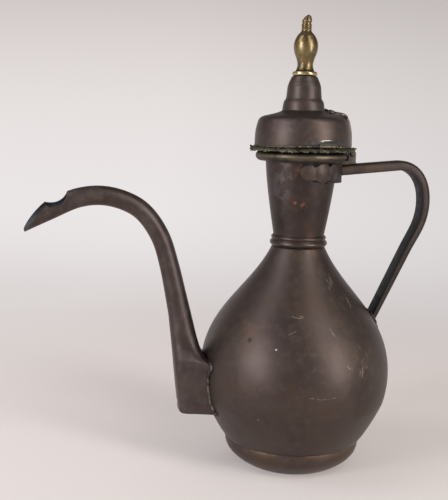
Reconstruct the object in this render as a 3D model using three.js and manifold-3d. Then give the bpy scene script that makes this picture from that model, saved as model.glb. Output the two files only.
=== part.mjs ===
// Ibrik ewer in sheet copper with brass trim: a round body on a pan foot, a flared neck,
// a tall curved spout, a bar handle and a hinged dome lid with a baluster finial.
// Millimetres, +Z up, handle towards +X, spout towards -X, the table at z = 0.
import * as THREE from 'three';
import { mergeVertices } from 'three/addons/utils/BufferGeometryUtils.js';
import Module from 'manifold-3d';

const wasm = await Module();
wasm.setup();

// Sheet, fits and facets
const sheet = 1.2; // wall of the raised body, neck, spout, dome and turret
const fit = 0.3; // gap left between pieces that are soldered or seated together
const overrun = 6; // how far a cutting shape runs past what it cuts
const weld = 1e-4; // points closer than this are one point
const facets = 32; // sides of a full turn
const smallFacets = 20; // sides of a full turn on small pieces
const leastFacets = 12; // sides of a full turn on rivets and lobes
const turretFacets = 24;

// Foot pan, which closes the body from below
const footRestRadius = 34.5;
const footHeight = 20.65;
const panLap = 5; // height of the pan's rim inside the body

// Body
const bodyRadius = 70.3;
const girthHeight = 70; // table to the widest girth
const bodyEdgeRadius = 51.3; // lower edge, where the foot pan enters
const collarRadius = 18.55; // short collar that the neck stands on
const collarHeight = 163.6; // table to the ledge under the neck ring
const collarRise = 4;
const ledgeWidth = 0.95;

// Neck, its bead ring and the mouth
const neckRingHeight = 8;
const neckRingBulge = 1.65;
const mouthRadius = 26; // outside of the neck at the mouth
const mouthHeight = 234.9;
const neckStraight = 8.9; // upright stretch below the mouth
const rimWidth = 7.6; // rim ring past the neck
const rimHeight = 7.5;
const rimDrop = 1.4; // mouth edge to the top of the rim ring
const rimGapDegrees = 42; // the ring stops this far each side of the hinge

// Spout
const spoutReach = 198; // axis to the tip
const crestHeight = 199.5; // table to the middle of the spout at its highest
const spoutFoot = 40.4; // table to the underside of the spout
const spoutHalfWidth = 11.2;
const spoutRadius = 6.85;
const soleHeight = 7.6;
const soleInset = 0.6; // the sole cap is this much smaller than the spout above it
const soleLap = 3.5;
const portRadius = 8.5; // hole in the body behind the spout
const lipBack = 14; // tip to the peak of the lip
const lipDrop = 5; // crest's middle down to the peak of the lip
const lipSwell = 2.4; // bulge of the slanted end
const tipDrop = 23.5; // crest's middle down to the tip
const tipTuck = 0.8;
const notchRadius = 10.3;
const notchBack = 19.5; // tip to the middle of the notch
const notchRise = 4.8;

// Handle: a bar with a flat inner face and a rounded back
const handleReach = 94.4; // axis to the flat face at its furthest
const handleTopDrop = 14.3; // mouth edge down to the flat face under the top run
const handleRootDrop = 4.3; // the root lies this much lower
const handleHalfWidth = 7;
const handleEdge = 0.9; // upright edge beside the flat face
const handleShoulder = 24.6; // top run down to the furthest point
const handleRootThickness = 7.5;
const handleEndThickness = 5;
const handleLanding = 110; // table to where the bar meets the body
const plateThickness = 1.2;
const plateDome = 1.5; // swell of each lobe
const bossProud = 3.4; // root block past the neck
const bossHalfWidth = 8.4;
const bossHeight = 14.6;
const footPlateRadius = 7.6;
const tenonLength = 2.2;
const tenonHalfWidth = 3.6;
const tenonHeight = 4;

// Hinge
const pinDrop = 2.9; // mouth edge down to the pin
const pinRadius = 1.1;
const pinHeadRadius = 1.9;
const pinHeadThickness = 0.8;
const cheekRadius = 2.8;
const cheekThickness = 1.7;
const knuckleRadius = 2.5;
const knuckleHalfWidth = 2.3;
const runningGap = 0.35;
const postTenonLength = 3.4;
const postTenonRadius = 1.6;

// Lid
const flangeWidth = 4.65; // flange past the dome
const flangeThickness = 1.2;
const raggedDepth = 0.5;
const raggedNotches = 72;
const bezelGap = 0.8; // bezel to the inside of the neck
const bezelDepth = 7.2; // below the mouth edge
const bezelTaper = 1.3;
const bezelLip = 2;
const domeOverhang = 8.65; // dome past the neck
const domeHeight = 25; // lower edge to the seat of the turret
const domeEyeRadius = 10;
const turretRadius = 15.3;
const turretHeight = 24.5;
const strapThickness = 1.5;
const strapHalfWidth = 5.5;
const strapLobeRadius = 5.2;
const strapReach = 19; // dome shoulder to the tip of the strap
const rivetRadius = 1.2;
const rivetHeadRadius = 2.3;
const rivetHeadHeight = 1.1;

// Finial
const finialCollarRadius = 9.1;
const finialCollarHeight = 3.2;
const finialRadius = 8.7;
const finialHeight = 39.7;
const tangRadius = 2;
const roveRadius = 5;
const roveThickness = 1.2;

// Shapes as shares of the piece that carries them
const lobeSwellShare = 0.72;
const lobeRaiseShare = 0.05;
const domeSideShares = [[1, 0], [1, 0.4], [0.98, 0.5], [0.955, 0.62]]; // of radius and height
const domeShoulderShares = [[0.955, 0.62], [0.935, 0.75], [0.91, 0.815], [0.8, 0.862]];
const bossCornerShare = 0.3;
const petalShare = 0.78;
const rivetCrownShare = 0.5;
const rivetPlaceShares = [0.28, 0.73]; // on the dome's side and on its top
const peenShare = 0.64;
const plateLobeShares = [[47, 0.42], [73.7, 0.49], [99.5, 0.36]]; // degrees round, radius
const turretShares = [
  [1, 0], [0.98, 0.15], [0.935, 0.27], [0.85, 0.35], [0.82, 0.5], [0.79, 0.7],
  [0.75, 0.79], [0.69, 0.88], [0.63, 0.96], [0.595, 1],
];
const finialShares = [
  [0.8, 0], [0.72, 0.03], [0.645, 0.095], [0.66, 0.145], [0.72, 0.2], [0.815, 0.255],
  [0.92, 0.31], [0.975, 0.36], [1, 0.42], [1, 0.47], [0.915, 0.52], [0.79, 0.57],
  [0.655, 0.625], [0.47, 0.68], [0.4, 0.72], [0.43, 0.74], [0.37, 0.76], [0.42, 0.78],
  [0.36, 0.82], [0.35, 0.89], [0.26, 0.94], [0.16, 0.985], [0, 1],
];

// Finishes
const copperFinish = { color: 0x453c39, roughness: 0.42, metalness: 0.85 };
const darkCopperFinish = { color: 0x3a3231, roughness: 0.48, metalness: 0.85 };
const rimFinish = { color: 0x5c5444, roughness: 0.4, metalness: 0.9 };
const brassFinish = { color: 0x80704a, roughness: 0.34, metalness: 1 };
const brightBrassFinish = { color: 0xc8aa6e, roughness: 0.25, metalness: 1 };
const steelFinish = { color: 0x4a4642, roughness: 0.5, metalness: 0.9 };

// Solids and shapes

function signedVolume(points, triangles) {
  let sum = 0;
  const [a, b, c] = [new THREE.Vector3(), new THREE.Vector3(), new THREE.Vector3()];
  for (let i = 0; i < triangles.length; i += 3) {
    a.fromArray(points, 3 * triangles[i]);
    b.fromArray(points, 3 * triangles[i + 1]);
    c.fromArray(points, 3 * triangles[i + 2]);
    sum += a.dot(b.cross(c));
  }
  return sum;
}

function solid(geometry) {
  const bare = new THREE.BufferGeometry();
  bare.setAttribute('position', geometry.getAttribute('position'));
  if (geometry.index) bare.setIndex(geometry.index);
  const merged = mergeVertices(bare, weld);
  const points = merged.getAttribute('position').array;
  const index = merged.index.array;
  const kept = [];
  for (let i = 0; i < index.length; i += 3) {
    const [a, b, c] = [index[i], index[i + 1], index[i + 2]];
    if (a !== b && b !== c && c !== a) kept.push(a, b, c);
  }
  if (signedVolume(points, kept) < 0) kept.reverse();
  const mesh = new wasm.Mesh({
    numProp: 3,
    vertProperties: new Float32Array(points),
    triVerts: new Uint32Array(kept),
  });
  mesh.merge();
  return new wasm.Manifold(mesh);
}

function meshOf(name, body, finish, origin = new THREE.Vector3()) {
  const data = body.getMesh();
  const geometry = new THREE.BufferGeometry();
  geometry.setAttribute('position', new THREE.BufferAttribute(data.vertProperties, 3));
  geometry.setIndex(new THREE.BufferAttribute(data.triVerts, 1));
  geometry.translate(-origin.x, -origin.y, -origin.z);
  geometry.computeVertexNormals();
  const mesh = new THREE.Mesh(geometry, new THREE.MeshStandardMaterial(finish));
  mesh.name = name;
  return mesh;
}

// A profile is a list of [radius, height] points; it closes on itself or on the axis.
function turned(profile, sides = facets) {
  const points = profile.map(([r, z]) => new THREE.Vector2(r, z));
  const closed = points[0].x > 0 || points[points.length - 1].x > 0;
  if (closed) points.push(points[0].clone());
  const lathe = new THREE.LatheGeometry(points, sides);
  lathe.rotateX(Math.PI / 2);
  return solid(lathe);
}

function block(x0, x1, y0, y1, z0, z1) {
  const box = new THREE.BoxGeometry(x1 - x0, y1 - y0, z1 - z0);
  box.translate((x0 + x1) / 2, (y0 + y1) / 2, (z0 + z1) / 2);
  return solid(box);
}

// A flat outline in X and Z, given its width in Y.
function slab(outline, y0, y1) {
  const shape = new THREE.Shape(outline.map(([x, z]) => new THREE.Vector2(x, z)));
  const extrusion = new THREE.ExtrudeGeometry(shape, { depth: y1 - y0, bevelEnabled: false });
  extrusion.rotateX(Math.PI / 2);
  extrusion.translate(0, y1, 0);
  return solid(extrusion);
}

// A flat outline in X and Y, given its height in Z.
function plank(outline, z0, z1) {
  const shape = new THREE.Shape(outline.map(([x, y]) => new THREE.Vector2(x, y)));
  const extrusion = new THREE.ExtrudeGeometry(shape, { depth: z1 - z0, bevelEnabled: false });
  extrusion.translate(0, 0, z0);
  return solid(extrusion);
}

// A round bar of the given radius between two points.
function bar(from, to, radius, sides = smallFacets) {
  const start = new THREE.Vector3(...from);
  const end = new THREE.Vector3(...to);
  const span = end.clone().sub(start);
  const cylinder = new THREE.CylinderGeometry(radius, radius, span.length(), sides);
  const turn = new THREE.Quaternion();
  turn.setFromUnitVectors(new THREE.Vector3(0, 1, 0), span.clone().normalize());
  cylinder.applyQuaternion(turn);
  const middle = start.clone().add(end).divideScalar(2);
  cylinder.translate(middle.x, middle.y, middle.z);
  return solid(cylinder);
}

// A skin over rings of points, closed at both ends.
function loft(rings) {
  const count = rings[0].length;
  const points = [];
  const index = [];
  for (const ring of rings) for (const p of ring) points.push(p.x, p.y, p.z);
  for (let i = 0; i + 1 < rings.length; i += 1) {
    for (let j = 0; j < count; j += 1) {
      const k = (j + 1) % count;
      const [a, b] = [i * count + j, i * count + k];
      index.push(a, b, b + count, a, b + count, a + count);
    }
  }
  const cap = (ring, first, flip) => {
    const middle = new THREE.Vector3();
    for (const p of ring) middle.add(p);
    middle.divideScalar(count);
    const centre = points.length / 3;
    points.push(middle.x, middle.y, middle.z);
    for (let j = 0; j < count; j += 1) {
      const [a, b] = [first + j, first + ((j + 1) % count)];
      if (flip) index.push(centre, b, a);
      else index.push(centre, a, b);
    }
  };
  cap(rings[0], 0, true);
  cap(rings[rings.length - 1], (rings.length - 1) * count, false);
  const geometry = new THREE.BufferGeometry();
  geometry.setAttribute('position', new THREE.Float32BufferAttribute(points, 3));
  geometry.setIndex(index);
  return solid(geometry);
}

// Points of a cubic curve in radius and height.
function curvePoints(start, first, second, end, steps) {
  const at = ([x, y]) => new THREE.Vector2(x, y);
  const curve = new THREE.CubicBezierCurve(at(start), at(first), at(second), at(end));
  return curve.getPoints(steps).map((p) => [p.x, p.y]);
}

// The same profile moved sideways by a distance, to the left of its direction.
function offset(profile, distance) {
  return profile.map(([r, z], i) => {
    const before = profile[Math.max(i - 1, 0)];
    const after = profile[Math.min(i + 1, profile.length - 1)];
    const along = new THREE.Vector2(after[0] - before[0], after[1] - before[1]).normalize();
    return [r - along.y * distance, z + along.x * distance];
  });
}

function heightRadius(profile, height) {
  for (let i = 0; i + 1 < profile.length; i += 1) {
    const [[r0, z0], [r1, z1]] = [profile[i], profile[i + 1]];
    if (z0 <= height && height <= z1) return r0 + ((r1 - r0) * (height - z0)) / (z1 - z0);
  }
  return profile[profile.length - 1][0];
}

// Body of revolution: the foot pan, the body, the neck and its rings

const panTopRadius = bodyEdgeRadius - sheet - fit;
const footCurveHeight = footHeight / Math.sqrt(1 - (footRestRadius / panTopRadius) ** 2);
const girthCurveHeight = (girthHeight - footHeight) / Math.sqrt(1 - (bodyEdgeRadius / bodyRadius) ** 2);
const ledgeRadius = collarRadius + ledgeWidth;

function panSide(steps) {
  const points = [];
  for (let i = 0; i <= steps; i += 1) {
    const z = (footHeight * i) / steps;
    const drop = (footHeight - z) / footCurveHeight;
    points.push([panTopRadius * Math.sqrt(1 - drop * drop), z]);
  }
  return points;
}

function bodyBowl(from, steps) {
  const points = [];
  for (let i = 0; i <= steps; i += 1) {
    const z = from + ((girthHeight - from) * i) / steps;
    const drop = (girthHeight - z) / girthCurveHeight;
    points.push([bodyRadius * Math.sqrt(1 - drop * drop), z]);
  }
  return points;
}

function bodyShoulder(steps) {
  const riseShare = 0.482;
  const [inShare, downShare] = [0.287, 0.35];
  const rise = collarHeight - girthHeight;
  return curvePoints(
    [bodyRadius, girthHeight],
    [bodyRadius, girthHeight + riseShare * rise],
    [ledgeRadius + inShare * (bodyRadius - ledgeRadius), collarHeight - downShare * rise],
    [ledgeRadius, collarHeight],
    steps,
  );
}

const bodyOutside = [...bodyBowl(footHeight, 5), ...bodyShoulder(8).slice(1)];
const bodyInside = offset([...bodyBowl(footHeight, 4), ...bodyShoulder(6).slice(1)], sheet);
bodyInside[0] = [bodyEdgeRadius - sheet, footHeight];

function footPan() {
  const lapTop = footHeight + panLap;
  const outer = [...panSide(4), [heightRadius(bodyInside, lapTop) - fit, lapTop]];
  const inner = offset(outer, sheet).filter(([, z]) => z > sheet);
  const floorRadius = footRestRadius - sheet;
  return turned([[0, 0], ...outer, ...inner.reverse(), [floorRadius, sheet], [0, sheet]]);
}

function bodyShell() {
  const bore = collarRadius - sheet;
  const top = collarHeight + collarRise;
  const outer = [...bodyOutside, [collarRadius, collarHeight], [collarRadius, top]];
  const inner = [...bodyInside.filter(([, z]) => z < collarHeight), [bore, collarHeight], [bore, top]];
  const port = bar([-bodyRadius - overrun, 0, portHeight], [0, 0, portHeight], portRadius);
  return turned([...outer, ...inner.reverse()]).subtract(port);
}

// The body's outside, grown by a distance and filled in, for fitting pieces against it.
function bodyEnvelope(growth) {
  const side = offset(bodyOutside, -growth);
  const [low, high] = [side[0][1] - overrun, side[side.length - 1][1]];
  return turned([[0, low], [side[0][0], low], ...side, [0, high]]);
}

const neckFoot = collarHeight + collarRise + fit;
const ringTop = collarHeight + fit + neckRingHeight;

function neckOutside(steps) {
  const [riseShare, swellShare] = [0.78, 1.02];
  const top = mouthHeight - neckStraight;
  const rise = top - ringTop;
  return curvePoints(
    [collarRadius, ringTop],
    [collarRadius + swellShare * (mouthRadius - collarRadius), ringTop + riseShare * rise],
    [mouthRadius, top],
    [mouthRadius, top],
    steps,
  );
}

function neckTube() {
  const outer = [[collarRadius, neckFoot], ...neckOutside(4), [mouthRadius, mouthHeight]];
  const bore = collarRadius - sheet;
  const inner = [[bore, neckFoot], ...offset(neckOutside(4), sheet), [mouthRadius - sheet, mouthHeight]];
  return turned([...outer, ...inner.reverse()]);
}

// A bead swells from a straight edge between two heights.
function bead(radius, low, high, bulge, steps) {
  const points = [];
  for (let i = 0; i <= steps; i += 1) {
    const share = i / steps;
    points.push([radius + bulge * Math.sin(Math.PI * share), low + (high - low) * share]);
  }
  return points;
}

function neckRing() {
  const lowerShare = 0.64;
  const ridgeShare = 0.5;
  const low = collarHeight + fit;
  const groove = low + lowerShare * neckRingHeight;
  const lower = bead(ledgeRadius, low, groove, neckRingBulge, 4);
  const upper = bead(ledgeRadius, groove, ringTop, neckRingBulge * ridgeShare, 2);
  const bore = collarRadius + fit;
  return turned([...lower, ...upper.slice(1), [bore, ringTop], [bore, low]]);
}

function rimRing() {
  const bore = mouthRadius + fit;
  const rimRadius = mouthRadius + rimWidth;
  const top = mouthHeight - rimDrop;
  const depthShare = 0.56;
  const round = depthShare * (rimRadius - bore);
  const points = [[bore, top - rimHeight]];
  const steps = 6;
  for (let i = 0; i <= steps; i += 1) {
    const angle = Math.PI * (i / steps - 1 / 2);
    const r = rimRadius - round + round * Math.cos(angle);
    points.push([r, top - rimHeight / 2 + (rimHeight / 2) * Math.sin(angle)]);
  }
  points.push([bore, top]);
  const half = THREE.MathUtils.degToRad(rimGapDegrees);
  const far = rimRadius + overrun;
  const wedge = [[0, 0], [far, -far * Math.tan(half)], [far, far * Math.tan(half)]];
  return turned(points).subtract(plank(wedge, top - rimHeight - overrun, top + overrun));
}

// Spout: a boxed foot against the body that draws in to a round tube and arches over

const portHeight = spoutFoot + soleHeight + soleLap + sheet + portRadius;
const spoutRise = crestHeight - spoutFoot;
const spoutRun = spoutReach - bodyRadius;

// The foot's level sections: height, front, back, half width, squareness and flare.
const footSectionShares = [
  [0.05, 0.141, -0.143, 1, 4.6, 1],
  [0.123, 0.152, -0.143, 1, 4.4, 1.4],
  [0.199, 0.163, -0.143, 1, 4, 1.5],
  [0.236, 0.168, -0.11, 1, 3.6, 1.5],
  [0.258, 0.171, -0.06, 0.98, 3.2, 1.3],
  [0.28, 0.174, -0.015, 0.94, 2.8, 0.9],
  [0.317, 0.18, 0.019, 0.88, 2.5, 0.3],
  [0.356, 0.186, 0.037, 0.82, 2.3, 0.1],
  [0.403, 0.193, 0.052, 0.78, 2.1, 0],
];

// The arch's middle line, as shares of the run out from the girth and the rise from the foot.
const archShares = [
  [0.139, 0.471],
  [0.203, 0.694],
  [0.263, 0.832],
  [0.372, 0.943],
  [0.534, 0.997],
  [0.7, 0.992],
  [0.878, 0.931],
  [1.078, 0.856],
];

// A section's ring: depth along one direction, width along Y, rounder as squareness nears 2.
function sectionRing(middle, along, halfDepth, halfWidth, squareness, flare) {
  const ring = [];
  const sides = 16;
  for (let i = 0; i < sides; i += 1) {
    const angle = (2 * Math.PI * (i + 1 / 2)) / sides;
    const [c, s] = [Math.cos(angle), Math.sin(angle)];
    const depth = Math.sign(c) * Math.abs(c) ** (2 / squareness);
    const width = Math.sign(s) * Math.abs(s) ** (2 / squareness);
    const spread = 1 + flare * ((1 - depth) / 2) ** 2;
    const point = along.clone().multiplyScalar(halfDepth * depth).add(middle);
    point.y = halfWidth * width * spread;
    ring.push(point);
  }
  return ring;
}

function footRing(shares, inset, low = 0) {
  const [up, front, back, width, squareness, flare] = shares;
  const frontX = bodyRadius + front * spoutRun - inset;
  const backX = bodyRadius + back * spoutRun + inset;
  const middle = new THREE.Vector3(-(frontX + backX) / 2, 0, spoutFoot + up * spoutRise - low);
  const forward = new THREE.Vector3(-1, 0, 0);
  const halfWidth = width * spoutHalfWidth - inset;
  return sectionRing(middle, forward, (frontX - backX) / 2, halfWidth, squareness, flare);
}

function archRings(inset) {
  const knots = archShares.map(
    ([out, up]) => new THREE.Vector3(-bodyRadius - out * spoutRun, 0, spoutFoot + up * spoutRise),
  );
  const curve = new THREE.CatmullRomCurve3(knots, false, 'centripetal');
  const rings = [];
  const steps = 15;
  const [swellShare, swellLengthShare] = [0.19, 0.27];
  for (let i = 0; i <= steps; i += 1) {
    const t = i / steps;
    const tangent = curve.getTangentAt(t);
    const outward = new THREE.Vector3(-tangent.z, 0, tangent.x);
    const swell = 1 + swellShare * Math.max(0, 1 - t / swellLengthShare);
    const radius = spoutRadius * swell - inset;
    rings.push(sectionRing(curve.getPointAt(t), outward, radius, radius, 2, 0));
  }
  return rings;
}

function spoutMouthCut() {
  const lip = [-spoutReach + lipBack, crestHeight - lipDrop];
  const tip = [-spoutReach, crestHeight - tipDrop];
  const swell = [(lip[0] + tip[0]) / 2 - lipSwell, (lip[1] + tip[1]) / 2 + lipSwell];
  const slant = new THREE.QuadraticBezierCurve(
    new THREE.Vector2(...lip),
    new THREE.Vector2(...swell),
    new THREE.Vector2(...tip),
  );
  const edge = slant.getPoints(6).map((p) => [p.x, p.y]);
  const far = tip[0] - 4 * spoutRadius;
  const [low, high] = [tip[1] - 2 * spoutRadius, crestHeight + 4 * spoutRadius];
  const tuck = [tip[0] + tipTuck, tip[1] - 3 * tipTuck];
  const outline = [...edge, tuck, [tuck[0], low], [far, low], [far, high], [lip[0], high]];
  const reach = spoutRadius + overrun;
  const eye = [-spoutReach + notchBack, crestHeight + notchRise];
  const notch = bar([eye[0], -reach, eye[1]], [eye[0], reach, eye[1]], notchRadius);
  return slab(outline, -reach, reach).add(notch);
}

function spoutTube() {
  const skin = (inset, low) => {
    const rings = footSectionShares.map((shares) => footRing(shares, inset));
    const first = footRing(footSectionShares[0], inset, low);
    return loft([first, ...rings.slice(low > 0 ? 0 : 1), ...archRings(inset)]);
  };
  const outside = skin(0, 0);
  const bore = skin(sheet, overrun);
  return outside.subtract(bore).subtract(bodyEnvelope(fit)).subtract(spoutMouthCut());
}

function spoutSole() {
  const top = spoutFoot + footSectionShares[0][0] * spoutRise - fit;
  const shares = footSectionShares[0];
  const raise = (inset, height) => footRing(shares, inset, top + fit - height);
  const rounded = sheet;
  const cap = loft([
    raise(soleInset + rounded, spoutFoot),
    raise(soleInset + rounded * (1 - Math.SQRT1_2), spoutFoot + rounded * (1 - Math.SQRT1_2)),
    raise(soleInset, spoutFoot + rounded),
    raise(soleInset, top),
  ]);
  const lap = loft([
    raise(sheet + fit, spoutFoot + rounded),
    raise(sheet + fit, top + soleLap),
  ]);
  const hollow = loft([
    raise(2 * sheet + fit, spoutFoot + sheet),
    raise(2 * sheet + fit, top + soleLap + overrun),
  ]);
  return cap.add(lap).subtract(hollow).subtract(bodyEnvelope(fit));
}

// Handle

const rimLow = mouthHeight - rimDrop - rimHeight;
const plateHigh = rimLow - fit;
const plateMiddle = plateHigh - bossHeight / 2;
const neckSide = [...neckOutside(4), [mouthRadius, mouthHeight]];
const bossFace = heightRadius(neckSide, plateMiddle) + fit + bossProud;
const rootX = bossFace + fit;
const handleTop = mouthHeight - handleTopDrop;
const rootZ = handleTop - handleRootDrop;
const gripHeight = handleTop - handleShoulder;
const landingX = heightRadius(bodyOutside, handleLanding);
const postHalfWidth = knuckleHalfWidth + runningGap + cheekThickness;
const domeRadius = mouthRadius + domeOverhang;
const pinX = domeRadius + fit + knuckleRadius;
const pinZ = mouthHeight - pinDrop;

// The line of the flat inner face, from the root over the top and down to the body.
function handleLine() {
  const bendShare = 0.69;
  const [lowReachShare, lowHeightShare] = [0.668, 0.6];
  const at = (x, z) => new THREE.Vector3(x, 0, z);
  const root = at(rootX, rootZ);
  const bend = at(rootX + bendShare * (handleReach - rootX), handleTop);
  const drop = at(
    landingX + lowReachShare * (handleReach - landingX),
    handleLanding + lowHeightShare * (gripHeight - handleLanding),
  );
  const foot = at(landingX, handleLanding);
  const lean = drop.clone().sub(foot).normalize();
  const path = new THREE.CurvePath();
  const furthest = at(handleReach, gripHeight);
  const along = bend.clone().sub(root).normalize();
  const [topPullShare, sidePullShare, lowPullShare] = [0.62, 0.62, 0.42];
  const topPull = topPullShare * (handleReach - bend.x);
  const sidePull = sidePullShare * (handleTop - gripHeight);
  const lowPull = lowPullShare * (gripHeight - drop.z);
  path.add(new THREE.LineCurve3(root.addScaledVector(along, -overrun), bend));
  path.add(new THREE.CubicBezierCurve3(
    bend,
    bend.clone().addScaledVector(along, topPull),
    at(furthest.x, furthest.z + sidePull),
    furthest,
  ));
  path.add(new THREE.CubicBezierCurve3(
    furthest,
    at(furthest.x, furthest.z - lowPull),
    drop.clone().addScaledVector(lean, lowPull),
    drop,
  ));
  path.add(new THREE.LineCurve3(drop, foot.addScaledVector(lean, -overrun - sheet)));
  return path;
}

function handleThickness(share) {
  const taper = 1 - share * Math.sqrt(share);
  return handleEndThickness + (handleRootThickness - handleEndThickness) * taper;
}

function handleSkin(growth) {
  const path = handleLine();
  const length = path.getLength();
  const rings = [];
  const steps = 24;
  const roundSteps = 8;
  for (let i = 0; i <= steps; i += 1) {
    const share = i / steps;
    const tangent = path.getTangentAt(share);
    const outward = new THREE.Vector3(-tangent.z, 0, tangent.x);
    const base = path.getPointAt(share);
    const full = handleThickness(share) + growth;
    const wide = handleHalfWidth + growth;
    const ring = [];
    const place = (depth, y) => {
      const point = base.clone().addScaledVector(outward, depth);
      point.y = y;
      ring.push(point);
    };
    place(-growth, wide);
    for (let j = 0; j <= roundSteps; j += 1) {
      const angle = (Math.PI * j) / roundSteps;
      place(handleEdge + (full - handleEdge) * Math.sin(angle), wide * Math.cos(angle));
    }
    place(-growth, -wide);
    rings.push(ring);
  }
  return loft(rings);
}

function topRunHeight(x) {
  const line = handleLine().curves[0];
  const share = (x - line.v1.x) / (line.v2.x - line.v1.x);
  return line.v1.z + share * (line.v2.z - line.v1.z);
}

function postTenon(growth) {
  const top = topRunHeight(pinX) + handleRootThickness;
  const low = top - postTenonLength - growth;
  return bar([pinX, 0, low], [pinX, 0, top + postTenonRadius], postTenonRadius + growth);
}

function rootTenon(growth) {
  const middle = rootZ + handleRootThickness / 2;
  const half = tenonHeight / 2 + growth;
  const wide = tenonHalfWidth + growth;
  const end = rootX - tenonLength - growth;
  return block(end, rootX + tenonLength, -wide, wide, middle - half, middle + half);
}

function handleBar() {
  const seat = bodyEnvelope(fit + plateThickness + fit);
  const wide = 2 * handleHalfWidth;
  const behind = block(0, rootX, -wide, wide, rimLow - 2 * bossHeight, mouthHeight);
  return handleSkin(0).subtract(behind).add(rootTenon(0)).subtract(postTenon(fit)).subtract(seat);
}

function neckEnvelope(growth) {
  const side = offset(neckSide, -growth);
  return turned([[0, side[0][1]], ...side, [0, side[side.length - 1][1]]]);
}

// A round lobe on the neck plate: a disc of the plate with a low swell on it.
function plateLobe(azimuth, radius, height, shell) {
  const angle = THREE.MathUtils.degToRad(azimuth);
  const [c, s] = [Math.cos(angle), Math.sin(angle)];
  const reach = mouthRadius + overrun;
  const punch = bar([0, 0, height], [reach * c, reach * s, height], radius, leastFacets);
  const disc = shell.intersect(punch);
  const swell = new THREE.SphereGeometry(1, 8, 5);
  const spread = radius * lobeSwellShare;
  swell.scale(plateThickness + plateDome, spread, spread);
  swell.translate(heightRadius(neckSide, height), 0, 0);
  swell.rotateZ(angle);
  swell.translate(0, 0, height);
  return disc.add(solid(swell));
}

function neckPlate() {
  const shell = neckEnvelope(fit + plateThickness).subtract(neckEnvelope(fit));
  const low = plateHigh - bossHeight;
  const shoulder = bossHalfWidth * bossCornerShare;
  const root = plank([
    [0, -bossHalfWidth],
    [bossFace - shoulder, -bossHalfWidth],
    [bossFace, -bossHalfWidth + shoulder],
    [bossFace, bossHalfWidth - shoulder],
    [bossFace - shoulder, bossHalfWidth],
    [0, bossHalfWidth],
  ], low, plateHigh);
  const far = mouthRadius + overrun;
  const spread = far * Math.tan(THREE.MathUtils.degToRad(plateLobeShares[0][0]));
  const backing = shell.intersect(plank([[0, 0], [far, -spread], [far, spread]], low, plateHigh));
  let plate = root.add(backing);
  for (const side of [-1, 1]) {
    for (const [azimuth, radiusShare] of plateLobeShares) {
      const radius = radiusShare * bossHeight;
      const height = Math.min(plateMiddle + lobeRaiseShare * bossHeight, plateHigh - radius);
      plate = plate.add(plateLobe(side * azimuth, radius, height, shell));
    }
  }
  return plate.subtract(neckEnvelope(fit)).subtract(rootTenon(fit));
}

function bodyPlate() {
  const shell = bodyEnvelope(fit + plateThickness).subtract(bodyEnvelope(fit));
  const below = heightRadius(bodyOutside, handleLanding - footPlateRadius);
  const slope = new THREE.Vector3(below - landingX, 0, -footPlateRadius).normalize();
  const normal = new THREE.Vector3(-slope.z, 0, slope.x);
  const centre = new THREE.Vector3(landingX, 0, handleLanding);
  const petals = [[0, 0], [0, 1], [0, -1], [1, 0]];
  let plate = null;
  for (const [down, across] of petals) {
    const middle = centre.clone().addScaledVector(slope, down * footPlateRadius);
    middle.y = across * footPlateRadius;
    const from = middle.clone().addScaledVector(normal, -overrun).toArray();
    const to = middle.clone().addScaledVector(normal, overrun).toArray();
    const petal = shell.intersect(bar(from, to, footPlateRadius * petalShare, leastFacets));
    plate = plate ? plate.add(petal) : petal;
  }
  return plate;
}

function hingePost() {
  const low = topRunHeight(pinX) + handleEdge + fit;
  const outline = [[pinX - cheekRadius, low], [pinX + cheekRadius, low]];
  const steps = 10;
  for (let i = 0; i <= steps; i += 1) {
    const angle = (Math.PI * i) / steps;
    outline.push([pinX + cheekRadius * Math.cos(angle), pinZ + cheekRadius * Math.sin(angle)]);
  }
  const slotHalf = knuckleHalfWidth + runningGap;
  const slotLow = pinZ - knuckleRadius - runningGap;
  const far = cheekRadius + overrun;
  const slot = block(pinX - far, pinX + far, -slotHalf, slotHalf, slotLow, pinZ + far);
  const reach = postHalfWidth + overrun;
  const eye = bar([pinX, -reach, pinZ], [pinX, reach, pinZ], pinRadius + fit);
  const saddle = slab(outline, -postHalfWidth, postHalfWidth).subtract(handleSkin(fit));
  return saddle.add(postTenon(0)).subtract(slot).subtract(eye);
}

function hingePin() {
  const face = postHalfWidth + fit;
  const end = face + pinHeadThickness;
  const chamfer = pinHeadThickness / 2;
  const profile = [[0, -end], [pinHeadRadius - chamfer, -end], [pinHeadRadius, -end + chamfer]];
  profile.push([pinHeadRadius, -face], [pinRadius, -face], [pinRadius, face], [pinHeadRadius, face]);
  profile.push([pinHeadRadius, end - chamfer], [pinHeadRadius - chamfer, end], [0, end]);
  const lathe = turned(profile, smallFacets);
  return lathe.rotate([90, 0, 0]).translate([pinX, 0, pinZ]);
}

// Lid, all of it fixed to the strap that turns on the pin

const flangeLow = mouthHeight + fit;
const flangeTop = flangeLow + flangeThickness;
const domeLow = flangeTop + fit;
const bezelRadius = mouthRadius - sheet - bezelGap;
const turretLow = domeLow + domeHeight + fit;
const turretTop = turretLow + turretHeight;
const collarLow = turretTop + fit;
const finialLow = collarLow + finialCollarHeight + fit;

function domeOutside() {
  const place = ([r, z]) => [r * domeRadius, domeLow + z * domeHeight];
  const side = curvePoints(...domeSideShares.map(place), 3);
  const shoulder = curvePoints(...domeShoulderShares.map(place), 4);
  const top = domeLow + domeHeight;
  return [...side, ...shoulder.slice(1), [turretRadius + ledgeWidth, top], [domeEyeRadius, top]];
}

function lidDome() {
  const outer = domeOutside();
  const inner = offset(outer, sheet);
  inner[0] = [domeRadius - sheet, domeLow];
  inner[inner.length - 1] = [domeEyeRadius, domeLow + domeHeight - sheet];
  let dome = turned([...outer, ...inner.reverse()]);
  for (const share of rivetPlaceShares) dome = dome.subtract(rivetAt(share, rivetRadius + fit, true));
  return dome;
}

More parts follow.
